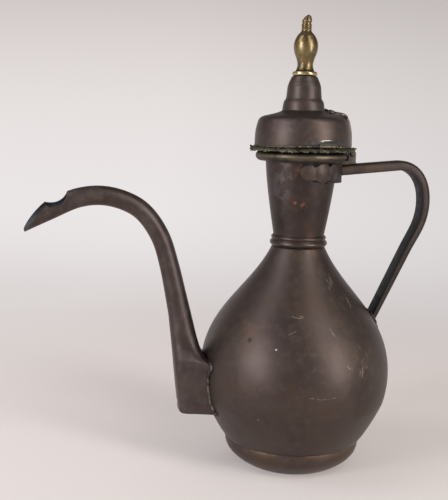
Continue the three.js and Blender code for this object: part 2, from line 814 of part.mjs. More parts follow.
function lidFlange() {
  const outline = [];
  for (let i = 0; i < raggedNotches; i += 1) {
    const angle = (2 * Math.PI * i) / raggedNotches;
    const fray = Math.sin(11 * angle) * Math.sin(5 * angle + 1) + Math.sin(29 * angle) / 2;
    const radius = domeRadius + flangeWidth - (raggedDepth * (1 + fray)) / 2;
    outline.push([radius * Math.cos(angle), radius * Math.sin(angle)]);
  }
  const eye = turned([[0, flangeLow - overrun], [bezelRadius + fit, flangeLow - overrun],
    [bezelRadius + fit, flangeTop + overrun], [0, flangeTop + overrun]]);
  const strapX = domeRadius + fit;
  const half = knuckleHalfWidth + fit;
  const slot = block(
    strapX - fit,
    strapX + strapThickness + fit,
    -half,
    half,
    flangeLow - overrun,
    flangeTop + overrun,
  );
  return plank(outline, flangeLow, flangeTop).subtract(eye).subtract(slot);
}

function lidBezel() {
  const low = mouthHeight - bezelDepth;
  const shoulder = mouthHeight - rimDrop;
  const lip = domeLow + sheet;
  const inside = bezelRadius - sheet;
  return turned([
    [bezelRadius - bezelTaper, low],
    [bezelRadius, shoulder],
    [bezelRadius, domeLow],
    [bezelRadius + bezelLip, domeLow],
    [bezelRadius + bezelLip, lip],
    [inside, lip],
    [inside, shoulder],
    [inside - bezelTaper, low],
  ]);
}

function lidTurret() {
  const outer = turretShares.map(([r, z]) => [r * turretRadius, turretLow + z * turretHeight]);
  const inner = offset(outer, sheet).filter(([, z]) => z < turretTop - sheet);
  inner[0] = [turretRadius - sheet, turretLow];
  const top = inner[inner.length - 1][0];
  const eye = tangRadius + fit;
  return turned([
    ...outer,
    [eye, turretTop],
    [eye, turretTop - sheet],
    [top - fit, turretTop - sheet],
    ...inner.reverse(),
  ], turretFacets);
}

// A rivet stands square to the dome's outside at a share of the way round its side.
function rivetAt(share, radius, throughOnly = false) {
  const outer = domeOutside();
  const line = new THREE.CurvePath();
  for (let i = 0; i + 1 < outer.length; i += 1) {
    const ends = [outer[i], outer[i + 1]].map(([r, z]) => new THREE.Vector3(r, 0, z));
    line.add(new THREE.LineCurve3(...ends));
  }
  const point = line.getPointAt(share);
  const tangent = line.getTangentAt(share);
  const normal = new THREE.Vector3(tangent.z, 0, -tangent.x);
  const inner = -sheet - fit;
  const outerFace = fit + strapThickness + fit;
  const crown = rivetHeadRadius * rivetCrownShare;
  const profile = throughOnly
    ? [[0, inner - overrun / 2], [radius, inner - overrun / 2], [radius, outerFace + overrun / 2],
      [0, outerFace + overrun / 2]]
    : [[0, inner - rivetHeadHeight], [crown, inner - rivetHeadHeight], [rivetHeadRadius, inner],
      [radius, inner], [radius, outerFace], [rivetHeadRadius, outerFace],
      [crown, outerFace + rivetHeadHeight], [0, outerFace + rivetHeadHeight]];
  const tilt = THREE.MathUtils.radToDeg(Math.atan2(normal.x, normal.z));
  return turned(profile, leastFacets).rotate([0, tilt, 0]).translate(point.toArray());
}

function lidStrap() {
  const outer = domeOutside().slice(0, -1);
  const tipX = domeRadius - strapReach;
  const near = offset(outer, -fit).filter(([r]) => r > tipX);
  const far = offset(outer, -fit - strapThickness).filter(([r]) => r > tipX);
  const leafX = domeRadius + fit;
  const last = outer[outer.length - 1];
  const before = outer[outer.length - 2];
  const fall = (last[1] - before[1]) / (before[0] - last[0]);
  const endAt = (list) => {
    const [r, z] = list[list.length - 1];
    return [tipX - fit, z + (r - tipX + fit) * fall];
  };
  const outline = [
    [leafX, pinZ],
    [leafX + strapThickness, pinZ],
    [leafX + strapThickness, domeLow],
    ...far.slice(1),
    endAt(far),
    endAt(near),
    ...near.slice(1).reverse(),
    [leafX, domeLow],
  ];
  const wide = strapHalfWidth + 2 * strapLobeRadius;
  const ribbon = slab(outline, -wide, wide);
  const high = domeLow + domeHeight + overrun;
  const low = pinZ - overrun;
  const end = pinX + overrun;
  const stem = block(0, end, -knuckleHalfWidth, knuckleHalfWidth, low, high);
  const shoulderX = tipX + 3 * strapLobeRadius;
  const beltX = tipX + 2 * strapLobeRadius;
  const belt = block(beltX, end, -strapHalfWidth, strapHalfWidth, domeLow, high);
  const lobe = (x, y) => bar([x, y, domeLow], [x, y, high], strapLobeRadius);
  const lobes = lobe(tipX + strapLobeRadius, 0)
    .add(lobe(shoulderX - strapLobeRadius, strapLobeRadius))
    .add(lobe(shoulderX - strapLobeRadius, -strapLobeRadius));
  const topOnly = block(0, shoulderX + strapLobeRadius, -wide, wide, domeLow + domeHeight / 2, high);
  const cutter = stem.intersect(block(shoulderX, end, -wide, wide, low, high))
    .add(belt)
    .add(lobes.intersect(topOnly));
  const half = knuckleHalfWidth;
  const knuckle = bar([pinX, -half, pinZ], [pinX, half, pinZ], knuckleRadius);
  const reach = half + overrun;
  const eye = bar([pinX, -reach, pinZ], [pinX, reach, pinZ], pinRadius + fit);
  let strap = ribbon.intersect(cutter).add(knuckle).subtract(eye);
  for (const share of rivetPlaceShares) strap = strap.subtract(rivetAt(share, rivetRadius + fit, true));
  return strap;
}

function ringPiece(inside, outside, low, high, chamfer) {
  return turned([
    [inside, low],
    [outside - chamfer, low],
    [outside, low + chamfer],
    [outside, high - chamfer],
    [outside - chamfer, high],
    [inside, high],
  ], smallFacets);
}

function finialCollar() {
  const bevel = finialCollarHeight / 4;
  return ringPiece(tangRadius + fit, finialCollarRadius, collarLow, collarLow + finialCollarHeight, bevel);
}

function finialRove() {
  const top = turretTop - sheet - fit;
  return ringPiece(tangRadius + fit, roveRadius, top - roveThickness, top, roveThickness / 4);
}

function finial() {
  const knob = finialShares.map(([r, z]) => [r * finialRadius, finialLow + z * finialHeight]);
  const headTop = turretTop - sheet - fit - roveThickness - fit;
  const head = [[0, headTop - roveThickness], [tangRadius, headTop - roveThickness]];
  head.push([roveRadius * peenShare, headTop - roveThickness / 2], [roveRadius * peenShare, headTop]);
  return turned([...head, [tangRadius, headTop], [tangRadius, finialLow], ...knob], smallFacets);
}

// Assembly: what stands still, and the lid on its pivot

const ewer = new THREE.Group();
ewer.add(
  meshOf('foot_pan', footPan(), copperFinish),
  meshOf('body_shell', bodyShell(), copperFinish),
  meshOf('neck_ring', neckRing(), copperFinish),
  meshOf('neck_tube', neckTube(), copperFinish),
  meshOf('rim_ring', rimRing(), rimFinish),
  meshOf('spout_tube', spoutTube(), copperFinish),
  meshOf('spout_sole', spoutSole(), copperFinish),
  meshOf('handle_bar', handleBar(), darkCopperFinish),
  meshOf('neck_plate', neckPlate(), copperFinish),
  meshOf('body_plate', bodyPlate(), copperFinish),
  meshOf('hinge_post', hingePost(), darkCopperFinish),
  meshOf('hinge_pin', hingePin(), steelFinish),
);

const pivot = new THREE.Vector3(pinX, 0, pinZ);
const lid = new THREE.Group();
lid.position.copy(pivot);
lid.add(
  meshOf('lid_strap', lidStrap(), darkCopperFinish, pivot),
  meshOf('lid_flange', lidFlange(), rimFinish, pivot),
  meshOf('lid_bezel', lidBezel(), copperFinish, pivot),
  meshOf('lid_dome', lidDome(), copperFinish, pivot),
  meshOf('strap_rivet_side', rivetAt(rivetPlaceShares[0], rivetRadius), darkCopperFinish, pivot),
  meshOf('strap_rivet_top', rivetAt(rivetPlaceShares[1], rivetRadius), darkCopperFinish, pivot),
  meshOf('lid_turret', lidTurret(), copperFinish, pivot),
  meshOf('finial_collar', finialCollar(), brightBrassFinish, pivot),
  meshOf('finial', finial(), brassFinish, pivot),
  meshOf('finial_rove', finialRove(), brassFinish, pivot),
);
ewer.add(lid);

export default ewer;
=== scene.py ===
# The looks of an ibrik ewer in patinated copper with brass trim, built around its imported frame.
# Sizes are in millimetres and become metres when a vertex is placed.
import bpy
import bmesh
import math
from mathutils import Matrix, Vector, noise


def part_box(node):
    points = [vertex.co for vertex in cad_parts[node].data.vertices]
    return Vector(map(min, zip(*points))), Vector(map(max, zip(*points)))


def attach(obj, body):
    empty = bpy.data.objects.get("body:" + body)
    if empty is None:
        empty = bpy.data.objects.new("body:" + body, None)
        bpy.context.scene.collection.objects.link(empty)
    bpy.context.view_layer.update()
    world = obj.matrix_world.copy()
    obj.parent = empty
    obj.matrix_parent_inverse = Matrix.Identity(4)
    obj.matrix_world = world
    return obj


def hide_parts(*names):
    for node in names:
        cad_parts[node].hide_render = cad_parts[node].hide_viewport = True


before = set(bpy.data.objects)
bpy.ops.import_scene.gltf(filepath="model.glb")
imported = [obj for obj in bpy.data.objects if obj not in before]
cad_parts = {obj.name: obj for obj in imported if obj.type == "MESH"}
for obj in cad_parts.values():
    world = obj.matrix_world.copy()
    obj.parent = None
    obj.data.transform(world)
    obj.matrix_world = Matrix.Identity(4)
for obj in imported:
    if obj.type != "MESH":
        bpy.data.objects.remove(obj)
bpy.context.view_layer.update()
mm = 0.001
weldGap = 0.004  # points closer than this become one
bpy.context.scene.view_settings.view_transform = "Standard"

# Working with operators

def deselectAll():
    if bpy.context.object and bpy.context.object.mode == "EDIT":
        bpy.ops.object.mode_set(mode="OBJECT")
    bpy.ops.object.select_all(action="DESELECT")


def editing(selectMode="VERT"):
    bpy.ops.object.mode_set(mode="EDIT")
    bpy.ops.mesh.select_mode(type=selectMode)


def pick(piece):
    deselectAll()
    piece.select_set(True)
    bpy.context.view_layer.objects.active = piece


def named(name):
    piece = bpy.context.object
    piece.name = piece.data.name = name
    bpy.ops.object.transform_apply(location=True, rotation=True, scale=True)
    return piece


def placed(piece, rotation, location):
    pick(piece)
    piece.rotation_euler = rotation
    piece.location = Vector(location) * mm
    bpy.ops.object.transform_apply(location=True, rotation=True, scale=True)
    return piece


def block(name, low, high):
    deselectAll()
    bpy.ops.mesh.primitive_cube_add(size=1, location=(Vector(low) + Vector(high)) / 2 * mm,
                                    scale=(Vector(high) - Vector(low)) * mm)
    return named(name)


def rod(name, start, end, radius, sides=48):
    start, end = Vector(start), Vector(end)
    deselectAll()
    bpy.ops.mesh.primitive_cylinder_add(
        vertices=sides, radius=radius * mm, depth=(end - start).length * mm, location=(start + end) / 2 * mm,
        rotation=(end - start).to_track_quat("Z", "Y").to_euler())
    return named(name)


def recalculated(piece):
    pick(piece)
    editing()
    bpy.ops.mesh.select_all(action="SELECT")
    bpy.ops.mesh.remove_doubles(threshold=weldGap * mm)
    bpy.ops.mesh.normals_make_consistent(inside=False)
    bpy.ops.object.mode_set(mode="OBJECT")
    return piece


def applied(piece, kind, **settings):
    pick(piece)
    modifier = piece.modifiers.new("step", kind)
    for key, value in settings.items():
        setattr(modifier, key, value)
    bpy.ops.object.modifier_apply(modifier="step")
    return piece


def bevelled(piece, width, angle):
    return applied(piece, "BEVEL", width=width * mm, segments=3, limit_method="ANGLE",
                   angle_limit=math.radians(angle), use_clamp_overlap=True)


# Cuts or joins with another piece, which is used up.
def carved(piece, cutter, operation="DIFFERENCE", materials="INDEX"):
    applied(piece, "BOOLEAN", object=cutter, operation=operation, solver="EXACT", material_mode=materials)
    bpy.data.objects.remove(cutter)
    return piece


def turnPoint(radius, azimuth, height):
    angle = math.radians(azimuth)
    return Vector((radius * math.cos(angle), radius * math.sin(angle), height))


# The radius and the azimuth of a point.
def turnOf(point):
    return math.hypot(point.x, point.y), math.degrees(math.atan2(point.y, point.x))


# Degrees from one azimuth on to another, the short way round.
def turnFrom(azimuth, turn):
    return (turn - azimuth + 180) % 360 - 180


def wholeTurn(count):
    return [2 * math.pi * i / count for i in range(count)]


# Each vertex goes where a function of its old place in millimetres says.
def reshaped(piece, newPlace):
    for vertex in piece.data.vertices:
        vertex.co = newPlace(vertex.co / mm) * mm
    return piece


# A closed line in radius and height is drawn point by point and spun about the axis.
def spun(name, line, steps=128, sweep=360, start=0):
    deselectAll()
    first = turnPoint(line[0][0], start, line[0][1])
    bpy.ops.mesh.primitive_plane_add(size=mm, location=first * mm)
    piece = named(name)
    editing()
    bpy.ops.mesh.select_all(action="SELECT")
    bpy.ops.mesh.merge(type="CENTER")
    for before, after in zip(line, line[1:]):
        step = turnPoint(after[0], start, after[1]) - turnPoint(before[0], start, before[1])
        bpy.ops.mesh.extrude_region_move(TRANSFORM_OT_translate={"value": step * mm})
    bpy.ops.mesh.select_all(action="SELECT")
    bpy.ops.mesh.spin(steps=steps, angle=-math.radians(sweep), center=(0, 0, 0), axis=(0, 0, 1))
    bpy.ops.object.mode_set(mode="OBJECT")
    return recalculated(piece)


# Rings of points are grown from a circle by extruding it and setting each new ring to its section.
def setRing(piece, ring):
    mesh = bmesh.from_edit_mesh(piece.data)
    order = mesh.verts.layers.int["order"]
    for vertex in mesh.verts:
        if vertex.select:
            vertex.co = ring[vertex[order]] * mm
    bmesh.update_edit_mesh(piece.data)


def grown(name, rings):
    deselectAll()
    bpy.ops.mesh.primitive_circle_add(vertices=len(rings[0]), radius=mm, fill_type="NGON")
    piece = named(name)
    editing()
    mesh = bmesh.from_edit_mesh(piece.data)
    order = mesh.verts.layers.int.new("order")
    for place, vertex in enumerate(mesh.verts):
        vertex[order] = place
    bmesh.update_edit_mesh(piece.data)
    bpy.ops.mesh.select_all(action="SELECT")
    setRing(piece, rings[0])
    for ring in rings[1:]:
        bpy.ops.mesh.extrude_region_move()
        setRing(piece, ring)
    bpy.ops.object.mode_set(mode="OBJECT")
    return recalculated(piece)


# Lines

def bezier(first, second, third, fourth, steps):
    points = []
    for i in range(steps + 1):
        t = i / steps
        weights = ((1 - t) ** 3, 3 * t * (1 - t) ** 2, 3 * t * t * (1 - t), t ** 3)
        points.append(sum((Vector(p) * w for p, w in zip((first, second, third, fourth), weights)),
                          Vector((0,) * len(first))))
    return [tuple(p) for p in points]


# The radius of an upright line at a height.
def radiusAt(line, height):
    for (r0, z0), (r1, z1) in zip(line, line[1:]):
        if z0 <= height <= z1:
            return r0 + (r1 - r0) * (height - z0) / max(z1 - z0, 1e-6)
    return line[0][0] if height < line[0][1] else line[-1][0]


# A smooth line through all its points.
def threaded(points, steps):
    knots = [Vector(p) for p in points]
    knots = [2 * knots[0] - knots[1]] + knots + [2 * knots[-1] - knots[-2]]
    line = []
    for a, b, c, d in zip(knots, knots[1:], knots[2:], knots[3:]):
        for i in range(steps):
            t = i / steps
            line.append(tuple(0.5 * (2 * b + (c - a) * t + (2 * a - 5 * b + 4 * c - d) * t * t
                                     + (3 * b - a - 3 * c + d) * t ** 3)))
    return line + [tuple(knots[-2])]


def tangentAt(points, i):
    return (points[min(i + 1, len(points) - 1)] - points[max(i - 1, 0)]).normalized()


def lengthsAlong(points):
    lengths = [0]
    for before, after in zip(points, points[1:]):
        lengths.append(lengths[-1] + (after - before).length)
    return lengths


# A line's corners of more than a few degrees are rounded.
def softened(line, radius, turn=18):
    points = [Vector(p) for p in line]
    soft = [points[0]]
    for before, here, after in zip(points, points[1:], points[2:]):
        back, ahead = before - here, after - here
        reach = min(radius, 0.45 * back.length, 0.45 * ahead.length)
        if reach < 1e-4 or math.degrees(math.pi - back.angle(ahead)) < turn:
            soft.append(here)
            continue
        p, q = here + back.normalized() * reach, here + ahead.normalized() * reach
        soft += [p, 0.25 * p + 0.5 * here + 0.25 * q, q]
    return [tuple(p) for p in soft + [points[-1]]]


# A line set off to its left.
def moved(line, distance):
    shifted = []
    for i, (r, z) in enumerate(line):
        before, after = line[max(i - 1, 0)], line[min(i + 1, len(line) - 1)]
        along = Vector((after[0] - before[0], after[1] - before[1])).normalized()
        shifted.append((r - along.y * distance, z + along.x * distance))
    return shifted


def roundEnd(outer, inner, along):
    middle, half = (Vector(outer) + Vector(inner)) / 2, (Vector(outer) - Vector(inner)) / 2
    ahead = Vector(along).normalized() * half.length
    return [tuple(middle + half * math.cos(a) + ahead * math.sin(a))
            for a in (math.pi / 4, math.pi / 2, 3 * math.pi / 4)]


# A sheet wall: its outer line upwards, its rounded edge, its inner line down again.
def sheetLine(outer, fromAxis=False):
    inner = moved(outer, wall)
    top = roundEnd(outer[-1], inner[-1], Vector(outer[-1]) - Vector(outer[-2]))
    line = list(outer) + top + inner[::-1]
    if fromAxis:
        return line[:-1] + [(0, inner[0][1])]
    return line + roundEnd(inner[0], outer[0], Vector(outer[0]) - Vector(outer[1])) + [outer[0]]


# Materials

def toLinear(code):
    channels = [int(code[i:i + 2], 16) / 255 for i in (0, 2, 4)]
    return [c / 12.92 if c <= 0.04045 else ((c + 0.055) / 1.055) ** 2.4 for c in channels] + [1]


# Adds a node. Settings are named in lower case. Inputs stand in order, or go by name with _ for a space, or by i
# and a number, and a node given as an input stands for its first output.
def addNode(tree, kind, *values, **named):
    node = tree.nodes.new("ShaderNode" + kind)
    inputs = dict(enumerate(values))
    for key, value in named.items():
        if key[0] == "i" and key[1:].isdigit():
            inputs[int(key[1:])] = value
        elif key[0].islower():
            setattr(node, key, value)
        else:
            inputs[key.replace("_", " ")] = value
    for key, value in inputs.items():
        if isinstance(value, bpy.types.Node):
            value = value.outputs[0]
        if isinstance(value, bpy.types.NodeSocket):
            tree.links.new(value, node.inputs[key])
        else:
            node.inputs[key].default_value = value
    return node


def startMaterial(name):
    material = bpy.data.materials.new(name)
    material.use_nodes = True
    material.node_tree.nodes.clear()
    return material, material.node_tree


# Metal with a grown surface: tones in clouds, fine grain, dents, worn patches and scratches.
# Cloud, fleck, grain and dent sizes are real ones in millimetres.
plainLook = dict(
    deep="423632", mid="4b3f3a", warm="54422f", light="554a44",
    metallic=0.8, roughness=(0.43, 0.51), coat=0.11, coatRoughness=0.38,
    cloud=38, fleck=6, grain=1.1, grainHeight=0.008, dent=17, dentHeight=0.06, warmth=0.3,
    patches=(), scratches=(), bands=(),
)
# Patches and bands stand only where a noise is over the level "broken"; under zero they are whole.
unbroken = -0.3
plainPatch = dict(stray=0.9, squeeze=(1, 1, 1), core=0.3, broken=0.4, strength=0.8, gloss=0.0, rise=0.0)
plainBand = dict(stray=0.8, size=1, edge=0.6, run=14, broken=0.5, strength=0.8, gloss=0.0, rise=0.0)
scratchTone, scratchDepth = "9a8d80", 0.03


def metalFinish(name, **changes):
    look = {**plainLook, **changes}
    material, tree = startMaterial(name)
    place = addNode(tree, "TexCoord").outputs["Object"]
    aside = addNode(tree, "VectorMath", place, (0.3, 0.1, 0.7), operation="ADD")
    patterns = dict(
        clouds=(place, look["cloud"], 3, 0.5), warmClouds=(aside, look["cloud"] * 0.6, 2, 0.5),
        flecks=(place, look["fleck"], 4, 0.6), grain=(place, look["grain"], 2, 0.7),
        dents=(place, look["dent"], 1, 0.5), wander=(place, 2.5, 2, 0.5))
    for key, (where, size, detail, roughness) in patterns.items():
        patterns[key] = addNode(tree, "TexNoise", Vector=where, Scale=1 / (size * mm), Detail=detail,
                                Roughness=roughness)
    flecks = patterns["flecks"]

    # Clouds of the mid tone on the deep one, light flecks over them, and warm clouds of their own.
    colour = toLinear(look["deep"])
    for key, low, high, share, tone in (("clouds", 0.34, 0.62, 1, "mid"), ("flecks", 0.45, 0.75, 0.55, "light"),
                                        ("warmClouds", 0.5, 0.7, look["warmth"], "warm")):
        mask = addNode(tree, "MapRange", patterns[key], low, high, 0, share, interpolation_type="SMOOTHSTEP")
        colour = addNode(tree, "Mix", mask, i6=colour, i7=toLinear(look[tone]), data_type="RGBA").outputs[2]
    rough = addNode(tree, "MapRange", flecks, 0.3, 0.7, *look["roughness"], interpolation_type="SMOOTHSTEP")
    height = addNode(tree, "Math", patterns["grain"], look["grainHeight"] * mm, operation="MULTIPLY")
    height = addNode(tree, "Math", patterns["dents"], look["dentHeight"] * mm, height, operation="MULTIPLY_ADD")
    wander = addNode(tree, "VectorMath", patterns["wander"].outputs["Color"], (0.5, 0.5, 0.5), operation="SUBTRACT")

    # Worn patches are round places that a wandering edge eats into. Bands are rings of wear or dirt between two
    # heights, broken up round the turn.
    for changed in [*look["patches"], *look["bands"]]:
        wear = {**(plainPatch if "at" in changed else plainBand), **changed}
        size, broken = wear["size"] * mm, wear["broken"]
        strayed = addNode(tree, "VectorMath", wander, [wear["stray"] * size] * 3, place, operation="MULTIPLY_ADD")
        if "at" in wear:
            away = addNode(tree, "VectorMath", strayed, wear["at"] * mm, operation="SUBTRACT")
            away = addNode(tree, "VectorMath", away, wear["squeeze"], operation="MULTIPLY")
            away = addNode(tree, "VectorMath", away, operation="LENGTH").outputs[1]
            ranges = [(away, size, size * wear["core"]), (flecks, broken, broken + 0.2)]
        else:
            up = addNode(tree, "SeparateXYZ", strayed).outputs[2]
            low, high, edge = (wear[key] * mm for key in ("low", "high", "edge"))
            shifted = addNode(tree, "VectorMath", place, (wear["low"] * 0.01, 0.2, 0.4), operation="ADD")
            runs = addNode(tree, "TexNoise", Vector=shifted, Scale=1 / (wear["run"] * mm), Detail=3, Roughness=0.6)
            ranges = [(up, low - edge, low + edge), (up, high + edge, high - edge), (runs, broken, broken + 0.12)]
        mask = wear["strength"]
        for value, start, full in ranges:
            shown = addNode(tree, "MapRange", value, start, full, interpolation_type="SMOOTHSTEP")
            mask = addNode(tree, "Math", shown, mask, operation="MULTIPLY")
        colour = addNode(tree, "Mix", mask, i6=colour, i7=toLinear(wear["colour"]), data_type="RGBA").outputs[2]
        rough = addNode(tree, "Math", mask, wear["gloss"], rough, operation="MULTIPLY_ADD")
        height = addNode(tree, "Math", mask, wear["rise"] * mm, height, operation="MULTIPLY_ADD")

    # Scratches: thin lines between two points, through the patina to paler metal.
    if look["scratches"]:
        strayed, lines = addNode(tree, "VectorMath", wander, [1.6 * mm] * 3, place, operation="MULTIPLY_ADD"), 0.0
        for start, end, width in look["scratches"]:
            reach, ahead = addNode(tree, "VectorMath", strayed, start * mm, operation="SUBTRACT"), end - start
            share = addNode(tree, "VectorMath", reach, ahead.normalized(), operation="DOT_PRODUCT").outputs[1]
            share = addNode(tree, "Clamp", share, 0.0, ahead.length * mm)
            foot = addNode(tree, "VectorMath", ahead.normalized(), Scale=share, operation="SCALE")
            away = addNode(tree, "VectorMath", reach, foot, operation="DISTANCE").outputs[1]
            line = addNode(tree, "MapRange", away, width * mm, width * 0.3 * mm, interpolation_type="SMOOTHSTEP")
            lines = addNode(tree, "Math", line, lines, operation="MAXIMUM")
        shown = addNode(tree, "MapRange", flecks, 0.35, 0.6, 0.15, 0.75, interpolation_type="SMOOTHSTEP")
        lines = addNode(tree, "Math", lines, shown, operation="MULTIPLY")
        colour = addNode(tree, "Mix", lines, i6=colour, i7=toLinear(scratchTone), data_type="RGBA").outputs[2]
        height = addNode(tree, "Math", lines, -scratchDepth * mm, height, operation="MULTIPLY_ADD")

    bump = addNode(tree, "Bump", Height=height, Distance=1.0, Strength=1.0)
    shader = addNode(tree, "BsdfPrincipled", Base_Color=colour, Roughness=rough, Metallic=look["metallic"],
                     Coat_Weight=look["coat"], Coat_Roughness=look["coatRoughness"], Normal=bump)
    addNode(tree, "OutputMaterial", shader)
    return material


# Finishes a piece: its material, its shading, the body it rides on and the nodes it stands for.
def settled(piece, body, nodes, material=None, angle=32):
    if material:
        piece.data.materials.clear()
        piece.data.materials.append(material)
        for face in piece.data.polygons:
            face.material_index = 0
    pick(piece)
    bpy.ops.object.shade_smooth_by_angle(angle=math.radians(angle))
    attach(piece, body)
    if nodes:
        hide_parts(*nodes)
    return piece


# The inside of a vessel's walls takes its own lining.
def lined(piece, material, isInside):
    piece.data.materials.append(material)
    last = len(piece.data.materials) - 1
    for face in piece.data.polygons:
        if isInside(face.center / mm, face.normal):
            face.material_index = last


def facesAxis(centre, normal):
    flat = Vector((centre.x, centre.y, 0))
    return flat.length > 0 and normal.dot(flat.normalized()) < -0.15


def facesInside(centre, normal):
    return normal.z < -0.3 or facesAxis(centre, normal)


# Camera and light

view = dict(azimuth=17, distance=626.1, height=252.25, yaw=-5.02, pitch=8.51, roll=1.51, focalPixels=850.4)
frameHeight = 500  # pixels on the photograph's long side
sensorSize, farthest = 36, 100


def facing(yaw, pitch, roll):
    yaw, pitch, roll = (math.radians(v) for v in (yaw, pitch, roll))
    ahead = Vector((math.sin(yaw) * math.cos(pitch), math.cos(yaw) * math.cos(pitch), -math.sin(pitch)))
    level = Vector((math.cos(yaw), -math.sin(yaw), 0))
    over = level.cross(ahead)
    right = level * math.cos(roll) + over * math.sin(roll)
    up = over * math.cos(roll) - level * math.sin(roll)
    return right, up, ahead


def addCamera():
    right, up, ahead = facing(view["yaw"], view["pitch"], view["roll"])
    turn = Matrix.Rotation(math.radians(-view["azimuth"]), 3, "Z")
    right, up, ahead = turn @ right, turn @ up, turn @ ahead
    place = turn @ Vector((0, -view["distance"], view["height"])) * mm
    bpy.ops.object.camera_add()
    camera = bpy.context.object
    matrix = Matrix((right, up, -ahead)).transposed().to_4x4()
    matrix.translation = place
    camera.matrix_world = matrix
    camera.data.sensor_width = sensorSize
    camera.data.lens = sensorSize * view["focalPixels"] / frameHeight
    camera.data.clip_end = farthest
    bpy.context.scene.camera = camera


# A tall soft box at each front corner, with a dimmer one above it, gives the body its pair of streaks.
lamps = [
    dict(name="leftSoftBox", azimuth=-46, elevation=14, height=950, watts=13.4, colour="f4f7ff"),
    dict(name="rightSoftBox", azimuth=55, elevation=14, height=950, watts=12.8, colour="fffdfb"),
    dict(name="leftHighBox", azimuth=-67, elevation=48, height=800, watts=4.1, colour="f4f7ff"),
    dict(name="rightHighBox", azimuth=48, elevation=48, height=800, watts=5.1, colour="fffdfb"),
]
lampDistance, lampWidth = 1500, 400
lampTarget = Vector((0, 0, 130))


def addLamps():
    toCamera = -90 - view["azimuth"]
    for lamp in lamps:
        level = lampDistance * math.cos(math.radians(lamp["elevation"]))
        rise = lampDistance * math.sin(math.radians(lamp["elevation"]))
        place = turnPoint(level, toCamera + lamp["azimuth"], rise) + lampTarget
        bpy.ops.object.light_add(type="AREA", location=place * mm)
        light = bpy.context.object
        light.name = lamp["name"]
        light.data.shape = "RECTANGLE"
        light.data.size, light.data.size_y = lampWidth * mm, lamp["height"] * mm
        light.data.energy = lamp["watts"]
        light.data.color = toLinear(lamp["colour"])[:3]
        light.rotation_euler = (lampTarget - place).to_track_quat("-Z", "Y").to_euler()


surround = dict(world="d9d5d2", worldStrength=0.68, zenithShare=0.55, dimStart=0.25, dimFull=0.8,
                floorTone="e7dfdb", nearGlow=0.3, glowStart=0.25, glowFull=0.62,
                leftGain=1.06, rightGain=0.93, gainReach=0.3)
# The paper's tones from the floor by the ewer, over the bend and up the wall, in metres.
paperTones = [(0.05, "dfd7d4"), (0.5, "d6d0cf"), (1.25, "e5e0e0"), (2.0, "cdc6c4"), (2.9, "6e6866")]


# Rays that look at the backdrop: the camera's own, and those that metal and glass send on.
def seenRays(tree):
    rays = addNode(tree, "LightPath").outputs
    seen = rays["Is Camera Ray"]
    for kind in ("Is Glossy Ray", "Is Transmission Ray"):
        seen = addNode(tree, "Math", seen, rays[kind], operation="MAXIMUM")
    return seen


def addWorld():
    world = bpy.data.worlds.new("studio")
    bpy.context.scene.world = world
    world.use_nodes = True
    tree = world.node_tree
    tree.nodes.clear()
    # The room is dark overhead, so the crown of the lid stays dark.
    rise = addNode(tree, "SeparateXYZ", addNode(tree, "TexCoord").outputs["Generated"]).outputs[2]
    dim = addNode(tree, "MapRange", rise, surround["dimStart"], surround["dimFull"], surround["worldStrength"],
                  surround["worldStrength"] * surround["zenithShare"])
    shade = addNode(tree, "Background", Color=toLinear(surround["world"]), Strength=dim)
    addNode(tree, "OutputWorld", shade)


def selectEdges(piece, isWanted):
    mesh = bmesh.from_edit_mesh(piece.data)
    for edge in mesh.edges:
        if isWanted([vertex.co for vertex in edge.verts]):
            edge.select_set(True)
    bmesh.update_edit_mesh(piece.data)


stage = dict(width=9000, front=3500, back=1500, height=4500, bend=700, bendSteps=24)


